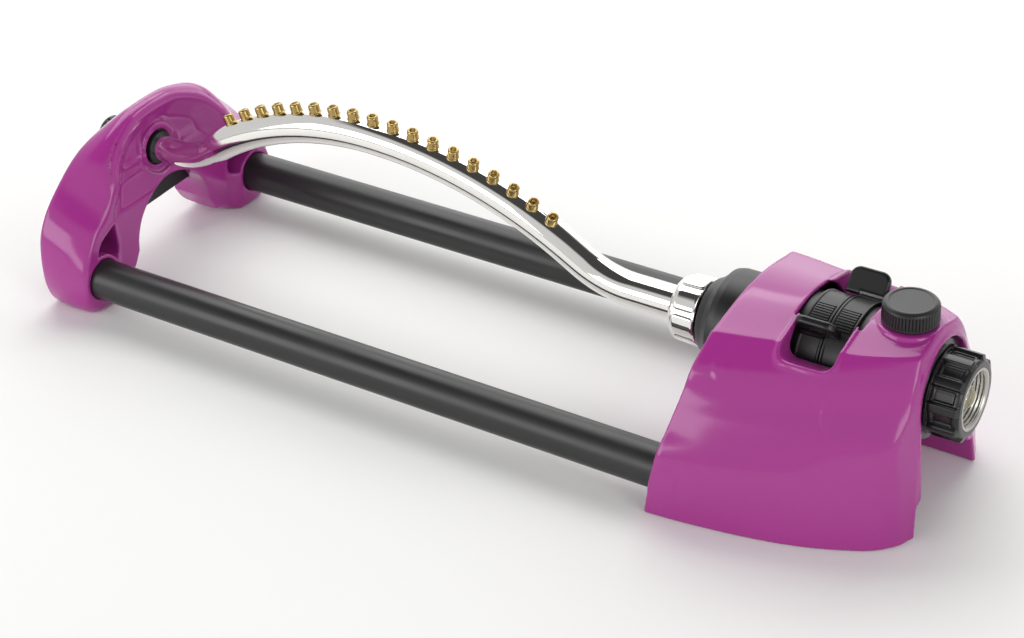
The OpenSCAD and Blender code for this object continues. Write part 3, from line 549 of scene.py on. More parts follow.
def new_tree(name: str, sizes: dict[str, object]) -> tuple[NodeTree, Node, Node]:
    """Starts a geometry tree with named inputs.

    Args:
        name: The tree's name.
        sizes: A sample value for each named input, which sets its kind.

    Returns:
        The tree, its input node and its output node.
    """
    tree = bpy.data.node_groups.new(name, "GeometryNodeTree")
    tree.interface.new_socket("Geometry", in_out="INPUT", socket_type="NodeSocketGeometry")
    for label, value in sizes.items():
        if isinstance(value, Object):
            kind = "NodeSocketObject"
        elif isinstance(value, Material):
            kind = "NodeSocketMaterial"
        elif isinstance(value, int):
            kind = "NodeSocketInt"
        else:
            kind = "NodeSocketFloat"
        tree.interface.new_socket(label, in_out="INPUT", socket_type=kind)
    tree.interface.new_socket("Geometry", in_out="OUTPUT", socket_type="NodeSocketGeometry")
    return tree, add_node(tree, "NodeGroupInput"), add_node(tree, "NodeGroupOutput")


def close_tree(tree: NodeTree, given: Node, out: Node, shape: NodeSocket) -> None:
    """Ends a tree: makes its instances real and gives them the material.

    Args:
        tree: Tree to end.
        given: Its input node, which holds the material.
        out: Its output node.
        shape: The geometry that was built.
    """
    real = add_node(tree, "GeometryNodeRealizeInstances", {"Geometry": shape})
    painted = add_node(
        tree, "GeometryNodeSetMaterial", {"Geometry": real.outputs["Geometry"], "Material": given.outputs["Material"]}
    )
    tree.links.new(painted.outputs["Geometry"], out.inputs["Geometry"])


def grown(tree: NodeTree, sizes: dict[str, object], start: Mesh) -> Mesh:
    """Runs a geometry tree on a mesh and keeps the result as a plain mesh.

    Args:
        tree: Tree to run.
        sizes: Values for its named inputs.
        start: Mesh that it starts from.

    Returns:
        The plain mesh.
    """

    def set_up(holder: Object) -> None:
        """Adds the tree with its values."""
        modifier = holder.modifiers.new("nodes", "NODES")
        modifier.node_group = tree
        for item in tree.interface.items_tree:
            if item.item_type == "SOCKET" and item.in_out == "INPUT" and item.name in sizes:
                modifier[item.identifier] = sizes[item.name]

    return evaluated(start, set_up)


def sweep(lines: Sequence[Array], radii: Sequence[Array], sides: int, finish: Finish, closed: bool = True) -> Mesh:
    """Sweeps a round section along lines.

    Args:
        lines: N x 3 points of each line, in millimetres.
        radii: The section's radius at each point.
        sides: Sides of the section.
        finish: Finish that the tree sets.
        closed: Whether the ends are capped.

    Returns:
        The swept mesh.
    """
    points = np.concatenate(lines)
    edges, first = [], 0
    for line in lines:
        edges += [(first + i, first + i + 1) for i in range(len(line) - 1)]
        first += len(line)
    path = new_mesh("path", points, [], edges)
    layer = path.attributes.new("girth", "FLOAT", "POINT")
    layer.data.foreach_set("value", (np.concatenate(radii) * MM).astype(np.float32))
    sizes = {"Sides": sides, "Material": finish.material()}
    tree, given, out = new_tree("swept_section", sizes)
    curve = add_node(tree, "GeometryNodeMeshToCurve", {"Mesh": given.outputs["Geometry"]})
    ring = add_node(tree, "GeometryNodeCurvePrimitiveCircle", {"Resolution": given.outputs["Sides"], "Radius": 1.0})
    girth = add_node(tree, "GeometryNodeInputNamedAttribute", {"Name": "girth"}, data_type="FLOAT")
    skin = add_node(
        tree,
        "GeometryNodeCurveToMesh",
        {
            "Curve": curve.outputs["Curve"],
            "Profile Curve": ring.outputs["Curve"],
            "Scale": girth.outputs["Attribute"],
            "Fill Caps": closed,
        },
    )
    close_tree(tree, given, out, skin.outputs["Mesh"])
    return grown(tree, sizes, path)


def copies(template: Mesh, places: Array, turns: Array, finish: Finish) -> Mesh:
    """Puts a turned copy of a mesh at each place.

    Args:
        template: Mesh to copy, in metres, about its own origin.
        places: N x 3 places in millimetres.
        turns: N x 3 Euler angles.
        finish: Finish that the tree sets.

    Returns:
        One plain mesh of all copies.
    """
    spots = new_mesh("spots", places, [])
    layer = spots.attributes.new("turn", "FLOAT_VECTOR", "POINT")
    layer.data.foreach_set("vector", np.asarray(turns, np.float32).ravel())
    source = placed("template", template)
    sizes = {"Piece": source, "Material": finish.material()}
    tree, given, out = new_tree("placed_copies", sizes)
    piece = add_node(tree, "GeometryNodeObjectInfo", {"Object": given.outputs["Piece"]})
    turn = add_node(tree, "GeometryNodeInputNamedAttribute", {"Name": "turn"}, data_type="FLOAT_VECTOR")
    pose = add_node(tree, "FunctionNodeEulerToRotation", {"Euler": turn.outputs["Attribute"]})
    put = add_node(
        tree,
        "GeometryNodeInstanceOnPoints",
        {
            "Points": given.outputs["Geometry"],
            "Instance": piece.outputs["Geometry"],
            "Rotation": pose.outputs["Rotation"],
        },
    )
    close_tree(tree, given, out, put.outputs["Instances"])
    mesh = grown(tree, sizes, spots)
    bpy.data.objects.remove(source)
    return mesh


def bridge(work: BMesh) -> None:
    """Closes the ring between two open tubes, one in another, at both ends along X."""
    rims = [edge for edge in work.edges if edge.is_boundary]
    middle = sum(edge.verts[0].co.x for edge in rims) / len(rims)
    for side in (-1, 1):
        near = [edge for edge in rims if (edge.verts[0].co.x - middle) * side > 0]
        bmesh.ops.bridge_loops(work, edges=near)
    bmesh.ops.recalc_face_normals(work, faces=work.faces)


# ---------------------------------------------------------------- distance fields


def meet(a: Array, b: Array, radius: float | Array) -> Array:
    """Distance to what both solids hold, with the edge between them rounded."""
    radius = np.maximum(radius, 1e-6)
    h = np.maximum(radius - np.abs(a - b), 0) / radius
    return np.maximum(a, b) + h * h * radius / 4


def merge(a: Array, b: Array, radius: float) -> Array:
    """Distance to what either solid holds, with a fillet between them."""
    return -meet(-a, -b, radius)


def carve(a: Array, b: Array, radius: float) -> Array:
    """Distance to the first solid without the second."""
    return meet(a, -b, radius)


def rounded_box(u: Array, v: Array, radius: float) -> Array:
    """Distance to a flat box with rounded corners, from the distances to its sides."""
    u, v = u + radius, v + radius
    return np.hypot(np.maximum(u, 0), np.maximum(v, 0)) + np.minimum(np.maximum(u, v), 0) - radius


def ramp(value: Array, low: float, high: float) -> Array:
    """Smooth step from 0 at low to 1 at high."""
    t = np.clip((value - low) / (high - low), 0, 1)
    return t * t * (3 - 2 * t)


def spline(knots: Sequence[Point], at: Array) -> Array:
    """Natural cubic spline through knots, straight beyond its ends.

    Args:
        knots: (place, value) pairs in rising order.
        at: Places to evaluate.

    Returns:
        Values at those places.
    """
    x, y = np.array(knots, float).T
    h, n = np.diff(x), len(x)
    m = np.zeros((n, n))
    m[0, 0] = m[-1, -1] = 1
    rhs = np.zeros(n)
    for i in range(1, n - 1):
        m[i, i - 1 : i + 2] = h[i - 1], 2 * (h[i - 1] + h[i]), h[i]
        rhs[i] = 6 * ((y[i + 1] - y[i]) / h[i] - (y[i] - y[i - 1]) / h[i - 1])
    k = np.linalg.solve(m, rhs)
    i = np.clip(np.searchsorted(x, at) - 1, 0, n - 2)
    inside = np.clip(at, x[0], x[-1])
    a, b = x[i + 1] - inside, inside - x[i]
    value = (k[i] * a**3 + k[i + 1] * b**3) / (6 * h[i]) + (y[i] / h[i] - k[i] * h[i] / 6) * a
    value = value + (y[i + 1] / h[i] - k[i + 1] * h[i] / 6) * b
    first = (y[1] - y[0]) / h[0] - h[0] * k[1] / 6
    last = (y[-1] - y[-2]) / h[-1] + h[-1] * k[-2] / 6
    return value + np.where(at < x[0], (at - x[0]) * first, 0) + np.where(at > x[-1], (at - x[-1]) * last, 0)


def softened(points: Sequence[Point], rounds: int = 3) -> Array:
    """Cuts the corners of a closed outline until it is smooth."""
    line = np.array(points, float)
    for _ in range(rounds):
        after = np.roll(line, -1, 0)
        line = np.stack([line * 0.75 + after * 0.25, line * 0.25 + after * 0.75], 1).reshape(-1, 2)
    return line


def outline_distance(outline: Array, across: Array, up: Array) -> Array:
    """Signed distance to a closed outline on a grid of places.

    Args:
        outline: N x 2 points.
        across: Grid places along the first axis.
        up: Grid places along the second axis.

    Returns:
        Grid of distances, negative inside.
    """
    u, v = np.meshgrid(across, up, indexing="ij")
    best = np.full(u.shape, 1e9)
    inside = np.zeros(u.shape, bool)
    for (u0, v0), (u1, v1) in zip(outline, np.roll(outline, -1, 0)):
        du, dv = u1 - u0, v1 - v0
        t = np.clip(((u - u0) * du + (v - v0) * dv) / max(du * du + dv * dv, 1e-9), 0, 1)
        best = np.minimum(best, (u - u0 - t * du) ** 2 + (v - v0 - t * dv) ** 2)
        if abs(dv) > 1e-9:
            inside ^= ((v0 > v) != (v1 > v)) & (u < u0 + (v - v0) * du / dv)
    return np.where(inside, -1, 1) * np.sqrt(best)


@dataclass
class Grid:
    """Regular places in a box that is the same on both sides of the XZ plane."""

    low: tuple[float, float]
    high: tuple[float, float, float]
    step: float

    def __post_init__(self) -> None:
        """Lays out the places: x and z from low to high, y from the middle out."""
        self.xs = np.arange(self.low[0], self.high[0] + self.step, self.step)
        self.ys = (np.arange(int(self.high[1] / self.step) + 1) + 0.5) * self.step
        self.zs = np.arange(self.low[1], self.high[2] + self.step, self.step)
        self.x = self.xs[:, None, None].astype(np.float32)
        self.y = self.ys[None, :, None].astype(np.float32)
        self.z = self.zs[None, None, :].astype(np.float32)

    def tube(self, y: float, z: float, radius: float) -> Array:
        """Distance to an endless round bar along X."""
        return np.hypot(self.y - y, self.z - z) - radius

    def rails(self, radius: float) -> Array:
        """Distance to endless round bars along the rails' axes."""
        return self.tube(RAIL.middle[1], RAIL.middle[2], radius)

    def post(self, x: float, y: float, radius: float) -> Array:
        """Distance to an endless round bar along Z."""
        return np.hypot(self.x - x, self.y - y) - radius

    def lift(self, flat: Array) -> Array:
        """Spreads a grid of (y, z) values along X."""
        return flat[None].astype(np.float32)

    def surface(self, values: Array) -> tuple[Array, list, "Sampler"]:
        """Finds the surface where the field is zero.

        Args:
            values: The field on the half grid.

        Returns:
            Points, four-cornered faces, and a sampler for the whole field.
        """
        full = np.concatenate([values[:, ::-1], values], 1).astype(np.float32)
        origin = np.array([self.xs[0], -self.ys[-1], self.zs[0]])
        inside = full < 0
        corners = [(i, j, k) for i in (0, 1) for j in (0, 1) for k in (0, 1)]
        shape = tuple(s - 1 for s in full.shape)
        part = [slice(0, -1), slice(1, None)]
        count = sum(inside[part[i], part[j], part[k]].astype(np.int8) for i, j, k in corners)
        cells = np.argwhere((count > 0) & (count < 8))
        index = np.full(shape, -1, np.int32)
        index[tuple(cells.T)] = np.arange(len(cells))
        total, hits = np.zeros((len(cells), 3)), np.zeros(len(cells))
        for a in corners:
            for b in corners:
                if sum(b) - sum(a) != 1 or any(q < p for p, q in zip(a, b)):
                    continue
                fa, fb = full[tuple((cells + a).T)], full[tuple((cells + b).T)]
                cross = (fa < 0) != (fb < 0)
                t = (fa / np.where(cross, fa - fb, 1))[:, None]
                total += np.where(cross[:, None], np.array(a) + t * (np.array(b) - np.array(a)), 0)
                hits += cross
        points = (cells + total / hits[:, None]) * self.step + origin
        quads = []
        for axis in range(3):
            u, v = (axis + 1) % 3, (axis + 2) % 3
            ahead = [slice(None)] * 3
            ahead[axis] = slice(1, None)
            here = [slice(None)] * 3
            here[axis] = slice(0, -1)
            first, second = inside[tuple(here)], inside[tuple(ahead)]
            edges = np.argwhere(first != second)
            edges = edges[(edges[:, u] > 0) & (edges[:, v] > 0)]
            edges = edges[(edges[:, u] < shape[u]) & (edges[:, v] < shape[v])]
            du, dv = np.eye(3, dtype=int)[u], np.eye(3, dtype=int)[v]
            four = [index[tuple((edges - s).T)] for s in (du + dv, dv, 0 * du, du)]
            quad = np.stack(four, 1)
            outward = first[tuple(edges.T)]
            quad[~outward] = quad[~outward][:, ::-1]
            quads.append(quad)
        sampler = Sampler(full, origin, self.step)
        return sampler.settled(points), np.concatenate(quads), sampler


@dataclass
class Sampler:
    """Reads a field and its slope anywhere on its grid."""

    values: Array
    origin: Array
    step: float

    def __post_init__(self) -> None:
        """Works out the field's slope."""
        self.slope = np.stack(np.gradient(self.values, self.step), -1)

    def read(self, points: Array) -> tuple[Array, Array]:
        """Field and slope at points.

        Args:
            points: N x 3 places in millimetres.

        Returns:
            N values and N x 3 slopes.
        """
        place = (points - self.origin) / self.step
        low = np.clip(np.floor(place).astype(int), 0, np.array(self.values.shape) - 2)
        part = np.clip(place - low, 0, 1)
        value, slope = np.zeros(len(points)), np.zeros((len(points), 3))
        for i in (0, 1):
            for j in (0, 1):
                for k in (0, 1):
                    share = np.abs(1 - i - part[:, 0]) * np.abs(1 - j - part[:, 1]) * np.abs(1 - k - part[:, 2])
                    at = (low[:, 0] + i, low[:, 1] + j, low[:, 2] + k)
                    value += share * self.values[at]
                    slope += share[:, None] * self.slope[at]
        return value, slope

    def settled(self, points: Array, rounds: int = 3) -> Array:
        """Moves points onto the surface along the slope."""
        for _ in range(rounds):
            value, slope = self.read(points)
            size = np.maximum((slope**2).sum(1), 0.05)
            move = np.clip(value / size, -0.4 * self.step, 0.4 * self.step)
            points = points - slope * move[:, None]
        return points

    def normals(self, points: Array) -> Array:
        """Unit normals of the surface at points."""
        slope = self.read(points)[1]
        return slope / np.maximum(np.linalg.norm(slope, axis=1), 1e-6)[:, None]


def moulded(grid: Grid, values: Array, most_faces: int) -> Mesh:
    """Makes a moulding's mesh from its distance field, shaded by the field's own slope.

    Args:
        grid: The field's grid.
        values: The field, negative in the material.
        most_faces: Triangles that the mesh may have.

    Returns:
        The closed mesh.
    """
    points, quads, sampler = grid.surface(values)
    mesh = bpy.data.meshes.new("moulded")
    mesh.vertices.add(len(points))
    mesh.vertices.foreach_set("co", (points * MM).astype(np.float32).ravel())
    mesh.loops.add(quads.size)
    mesh.loops.foreach_set("vertex_index", quads.astype(np.int32).ravel())
    mesh.polygons.add(len(quads))
    mesh.polygons.foreach_set("loop_start", np.arange(0, quads.size, 4, dtype=np.int32))
    mesh.update(calc_edges=True)
    triangles = 2 * len(quads)
    if triangles > most_faces:

        def thin(holder: Object) -> None:
            """Adds the modifier that leaves the triangles it may have."""
            holder.modifiers.new("thin", "DECIMATE").ratio = most_faces / triangles

        mesh = evaluated(mesh, thin)
        places = np.zeros(len(mesh.vertices) * 3, np.float32)
        mesh.vertices.foreach_get("co", places)
        points = sampler.settled(places.reshape(-1, 3).astype(float) / MM, 2)
        mesh.vertices.foreach_set("co", (points * MM).astype(np.float32).ravel())
    mesh.polygons.foreach_set("use_smooth", [True] * len(mesh.polygons))
    mesh.update()
    mesh.normals_split_custom_set_from_vertices(sampler.normals(points).tolist())
    return mesh


# ---------------------------------------------------------------- gear housing


@dataclass
class GearHousing:
    """The purple moulding over the motor: feet, flanks, crowned top, window and hose arch."""

    rail_end: float = HOUSING.low[0]
    rail_lean: float = 0.17
    hose_end: float = 246.3
    hose_lean: float = 0.055
    hose_tilt: float = 0.3
    side_height: float = 88.0
    wall: float = 2.4
    arch_r: float = 25.6
    arch_start: float = 214.5
    window: tuple[float, float] = (176.6, 203.8)
    window_half_angle: float = 68.0
    well_r: float = 31.0
    motor_r: float = 26.2
    room_half: float = 16.6
    rail_r: float = 11.1
    socket_end: float = 144.0
    posts: tuple[Point, ...] = ((26, 52), (80, 49))
    post_r: float = 3.6
    post_low: float = 4.6
    seat_r: float = 15.4
    seat_z: float = 90.5
    seat_half: float = 3.1
    stem_r: float = 4.6
    stem_low: float = 70.0
    step: float = 0.8

    crown_line = ((128, 91.6), (143, 92.0), (180, 92.9), (224, 93.5), (246, 93.5))
    rim_line = ((128, 84.5), (143, 85.0), (190, 87.0), (238, 89.0), (246, 89.3))
    foot_line = ((128, 80.5), (134, 80), (162, 76.6), (189, 71.4), (212, 64.3), (225, 58.5), (239, 49), (246, 40))
    crease_line = ((128, 41), (143, 40.4), (177, 34.9), (206, 32.0), (238, 20.4), (246, 15.5))
    side_rail_end = (
        (0, 0.976), (14, 0.993), (28, 1.0), (38, 0.952), (46, 0.807), (56, 0.639), (65, 0.518), (76, 0.40), (83, 0.18),
        (88, 0),
    )
    side_hose_end = ((0, 1), (22, 0.9), (39, 0.82), (57, 0.68), (66, 0.46), (84, 0.12), (88, 0))

    def outer(self, g: Grid) -> Array:
        """Distance to the housing's outer form, endless downwards.

        Args:
            g: The grid.

        Returns:
            The field.
        """
        foot, crease = spline(self.foot_line, g.xs), spline(self.crease_line, g.xs)
        share = np.clip((g.xs - self.rail_end) / (self.hose_end - self.rail_end), 0, 1)[:, None]
        crown, rim = spline(self.crown_line, g.xs)[:, None, None], spline(self.rim_line, g.xs)
        level = g.zs[None, :] * self.side_height / rim[:, None]
        side = spline(self.side_rail_end, level.ravel()).reshape(level.shape) * (1 - share)
        side = side + spline(self.side_hose_end, level.ravel()).reshape(level.shape) * share
        half = crease[:, None] + (foot - crease)[:, None] * side
        dx, dz = np.gradient(half, self.step)
        flank = (g.y - half[:, None, :]) / np.sqrt(1 + dx**2 + dz**2)[:, None, :]
        bend, drop = crease[:, None, None], crown - rim[:, None, None]
        part = np.clip(g.y / bend, 0, 1.2)
        top = g.z - crown + drop * (1.5 * part**2 - 0.5 * part**4)
        top = top / np.sqrt(1 + (drop * (3 * part - 2 * part**3) / bend) ** 2)
        form = meet(flank, top, 0.7)
        rail_face = (self.rail_end + self.rail_lean * g.z + 0 * g.y - g.x) / math.sqrt(1 + self.rail_lean**2)
        form = meet(form, rail_face, 1.8)
        reach = np.where(g.z > INLET_Z, np.hypot(g.y, g.z - INLET_Z), g.y - 0.16 * (INLET_Z - g.z))
        hose_end = self.hose_end - self.hose_lean * g.z - self.hose_tilt * np.maximum(reach - self.arch_r, 0)
        return meet(form, (g.x - hose_end) / math.sqrt(1 + self.hose_tilt**2), 0.9).astype(np.float32)

    def window_field(self, g: Grid) -> Array:
        """Distance to the wedge that the window cuts out."""
        half = math.radians(self.window_half_angle)
        wedge = g.y * math.cos(half) - (g.z - AXIS_Z) * math.sin(half)
        middle, width = sum(self.window) / 2, (self.window[1] - self.window[0]) / 2
        return meet(wedge + 0 * g.x, np.abs(g.x - middle) - width, 7.0)

    def arch_field(self, g: Grid) -> Array:
        """Distance to the arch that the swivel nut turns in."""
        step_out = 5.4 * (1 - ramp(g.z, 14.5, 17.5)) + 3 * np.clip((16 - g.z) / 16, 0, 1)
        reach = np.where(g.z > INLET_Z, np.hypot(g.y, g.z - INLET_Z), g.y)
        return meet(reach - self.arch_r - step_out + 0 * g.x, self.arch_start - g.x, 2.5)

    def field(self, g: Grid) -> Array:
        """Distance to the whole moulding.

        Args:
            g: The grid.

        Returns:
            The field.
        """
        outer = self.outer(g)
        body = meet(outer, 0 * outer - g.z, 1.0)
        shell = carve(body, outer + self.wall, 0.4)
        window, arch = self.window_field(g), self.arch_field(g)
        from_axis = g.tube(0, AXIS_Z, 0)
        walls = np.minimum(meet(window - 2.2, self.well_r - from_axis, 0.5), arch - 2.2)
        walls = np.minimum(walls, np.maximum(g.rails(self.rail_r + 2.3), g.x - self.socket_end))
        for x, y in self.posts:
            walls = np.minimum(walls, np.maximum(g.post(self.rail_end + x, y, self.post_r), self.post_low - g.z))
        shell = merge(shell, meet(walls, body, 0.6), 1.0)
        lip = meet(np.maximum(outer - 0.8, -2 - outer), window - 1.6, 0.7)
        shell = merge(shell, lip, 0.5)
        seat = meet(g.post(KNOB.middle[0], 0, self.seat_r), np.abs(g.z - self.seat_z) - self.seat_half, 1.2)
        shell = merge(shell, np.maximum(seat, -outer - 2.4), 1.0)
        shell = carve(shell, window, 0.9)
        shell = carve(shell, arch, 1.2)
        motor = np.maximum(from_axis - self.motor_r, g.x - self.arch_start - 2)
        room = meet(from_axis - self.well_r, np.abs(g.x - sum(self.window) / 2) - self.room_half, 0.6)
        cuts = [
            (motor, 0.8),
            (room, 0.6),
            (np.maximum(g.rails(self.rail_r), g.x - RAIL.high[0]), 0.8),
            (np.maximum(g.post(KNOB.middle[0], 0, self.stem_r), self.stem_low - g.z), 0.4),
        ]
        for shape, edge in cuts:
            shell = carve(shell, shape, edge)
        return shell

    def build(self) -> Object:
        """Makes the housing's piece."""
        g = Grid((124.0, -2.4), (249.0, 84.0, 97.0), self.step)
        mesh = moulded(g, self.field(g), 190000)
        return settle("housing_shell", mesh, SHELL_ABS, Body.BASE, ["gear_housing"])


# ---------------------------------------------------------------- end bracket


@dataclass
class EndBracket:
    """The purple saddle at the far end: an arched hood over the tube's end on two lobed feet."""

    front: float = BRACKET.high[0]
    back: float = -242.9
    lean: float = 0.035
    hinge: float = 66.0
    lean_front: float = 0.38
    rim: float = 3.2
    dish: float = 9.4
    wall: float = 2.4
    gap_half: float = 31.0
    gap_top: float = 48.0
    boss_r: float = 13.5
    carrier_x: float = -226.0
    carrier_half: float = 7.0
    recess_x: float = -230.5
    mouth_x: float = -221.0
    throat_x: float = -222.2
    throat_half: float = 1.4
    seat_x: float = -222.9
    seat_r: float = 12.4
    bore_r: float = 10.0
    rail_r: float = 11.1
    rail_end: float = -240.0
    plate: tuple[float, float, float] = (-229.4, 0.0, 40.6)
    plate_half: tuple[float, float, float] = (2.0, 47.0, 11.0)
    step: float = 0.7

    front_line = (
        (0, 94.0), (10.8, 93.6), (18, 92.5), (25, 90.0), (32.2, 86.6), (37.6, 83.4), (43, 78.2), (47, 72.2), (50, 66),
        (52, 61), (55.5, 55.8), (61, 50.8), (67.5, 46.6), (72.5, 40.4), (76, 34.8), (79.6, 27), (81.4, 18), (80, 8.5),
        (75.5, 1.8), (68.5, -0.8), (54, -0.8), (45, 4), (37, 9), (0, 9),
    )
    back_line = (
        (0, 83.4), (15, 83.2), (33, 81.4), (46, 77.8), (57.5, 70.6), (70, 60.4), (77.4, 50.8), (80.9, 42), (81.7, 33),
        (81.7, 23), (80.0, 11), (75.5, 2), (69, -0.8), (54, -0.8), (45, 4), (37, 9), (0, 9),
    )
    recess_line = ((51, 46), (58, 43.5), (66, 39.5), (69, 31), (66, 26), (52, 24), (47.5, 26), (49, 38))

    def faces(self, g: Grid) -> tuple[Array, Array, Array]:
        """Distances to the bracket's flank, to its flat back and to its dished front.

        Args:
            g: The grid.

        Returns:
            The three fields.
        """
        ahead = outline_distance(softened(self.mirrored(self.front_line)), g.ys, g.zs)
        behind = outline_distance(softened(self.mirrored(self.back_line)), g.ys, g.zs)
        rear = self.back + self.lean * g.z
        above = (g.z - self.hinge + np.sqrt((g.z - self.hinge) ** 2 + 9)) / 2
        front = self.front - self.lean_front * above
        share = np.clip((front - g.x) / (front - rear), -0.05, 1.05)
        swell = 7.0 + 5.0 * ramp(g.z, 62, 80)
        bulge = swell * np.clip(share, 0, 1) * (1 - np.clip(share, 0, 1))
        flank = g.lift(ahead) * (1 - share) + g.lift(behind) * share - bulge
        back = (rear - g.x) / math.sqrt(1 + self.lean**2)
        front_face = (g.x - front + 0 * g.y) / np.sqrt(1 + (self.lean_front * ramp(g.z, 62, 70)) ** 2)
        hood = self.dish * ramp(-g.lift(ahead), self.rim - 0.6, self.rim + 16)
        legs = 4.5 * (1 - ramp(g.y, 46, 54))
        height = ramp(g.z, 44.0, 60.0)
        depth = hood * height + legs * (1 - height)
        dy, dz = np.gradient(depth[0], self.step)
        return flank, back, (front_face + depth) / np.sqrt(1 + dy**2 + dz**2)[None]

    def field(self, g: Grid) -> Array:
        """Distance to the whole bracket.

        Args:
            g: The grid.

        Returns:
            The field.
        """
        flank, back, face = self.faces(g)
        solid = meet(meet(flank, back, 3.5), face, 2.4 + 5.0 * ramp(g.z, 60, 76) + 4.0 * (1 - ramp(g.z, 0, 14)))
        inner = np.maximum(np.maximum(flank + self.wall, face + self.wall), back - 3)
        gap = self.gap_field(g)
        shell = carve(solid, carve(inner, gap - self.wall, 1.0), 0.6)
        carrier = np.maximum(g.tube(0, AXIS_Z, self.boss_r + 2.4), np.abs(g.x - self.carrier_x) - self.carrier_half)
        shell = merge(shell, meet(carrier, solid, 0.5), 1.6)
        recess = g.lift(outline_distance(softened(self.recess_line, 2), g.ys, g.zs)) + 0 * g.x
        walls = meet(recess - self.wall, self.recess_x - self.wall - g.x, 1.5)
        shell = merge(shell, meet(walls, solid, 0.5), 1.0)
        pocket = meet(recess, self.recess_x - g.x, 1.5)
        shell = carve(shell, meet(pocket, g.x - self.front - 3 + 0 * g.y, 0.5), 1.6)
        shell = merge(shell, meet(g.rails(self.rail_r + 2.4), solid, 0.5), 1.0)
        shell = carve(shell, gap, 1.2)
        throat = np.maximum(g.tube(0, AXIS_Z, self.boss_r + 1), np.abs(g.x - self.throat_x) - self.throat_half)
        shell = merge(shell, throat, 0.8)
        mouth = meet(g.tube(0, AXIS_Z, self.boss_r), self.mouth_x - g.x, 0.6)
        seat = np.maximum(g.tube(0, AXIS_Z, self.seat_r), g.x - self.seat_x)
        plate = [np.abs(at - mid) - half for at, mid, half in zip((g.x, g.y, g.z), self.plate, self.plate_half)]
        cuts = [
            (mouth, 2.4),
            (np.minimum(seat, g.tube(0, AXIS_Z, self.bore_r) + 0 * g.x), 0.4),
            (np.maximum(g.rails(self.rail_r), self.rail_end - g.x), 0.9),
            (np.maximum(plate[0], np.maximum(plate[1], plate[2])), 0.4),
        ]
        for shape, edge in cuts:
            shell = carve(shell, shape, edge)
        return shell

    def mirrored(self, half: Sequence[Point]) -> list[Point]:
        """Both halves of an outline that is given for one side."""
        return list(half) + [(-y, z) for y, z in reversed(half) if y > 0]

    def gap_field(self, g: Grid) -> Array:
        """Distance to the arch between the two feet."""
        centre = self.gap_top - self.gap_half
        spread = 0.6 * np.maximum(centre - g.z, 0)
        reach = np.where(g.z > centre, np.hypot(g.y, g.z - centre), g.y - spread)
        return (reach - self.gap_half) + 0 * g.x

    def build(self) -> Object:
        """Makes the bracket's piece."""
        g = Grid((-248.0, -2.1), (-208.0, 87.0, 98.0), self.step)
        values = meet(self.field(g), -g.z + 0 * g.x, 0.8)
        mesh = moulded(g, values, 190000)
        return settle("bracket_shell", mesh, SHELL_ABS, Body.BASE, ["end_bracket"])


# ---------------------------------------------------------------- spray arm


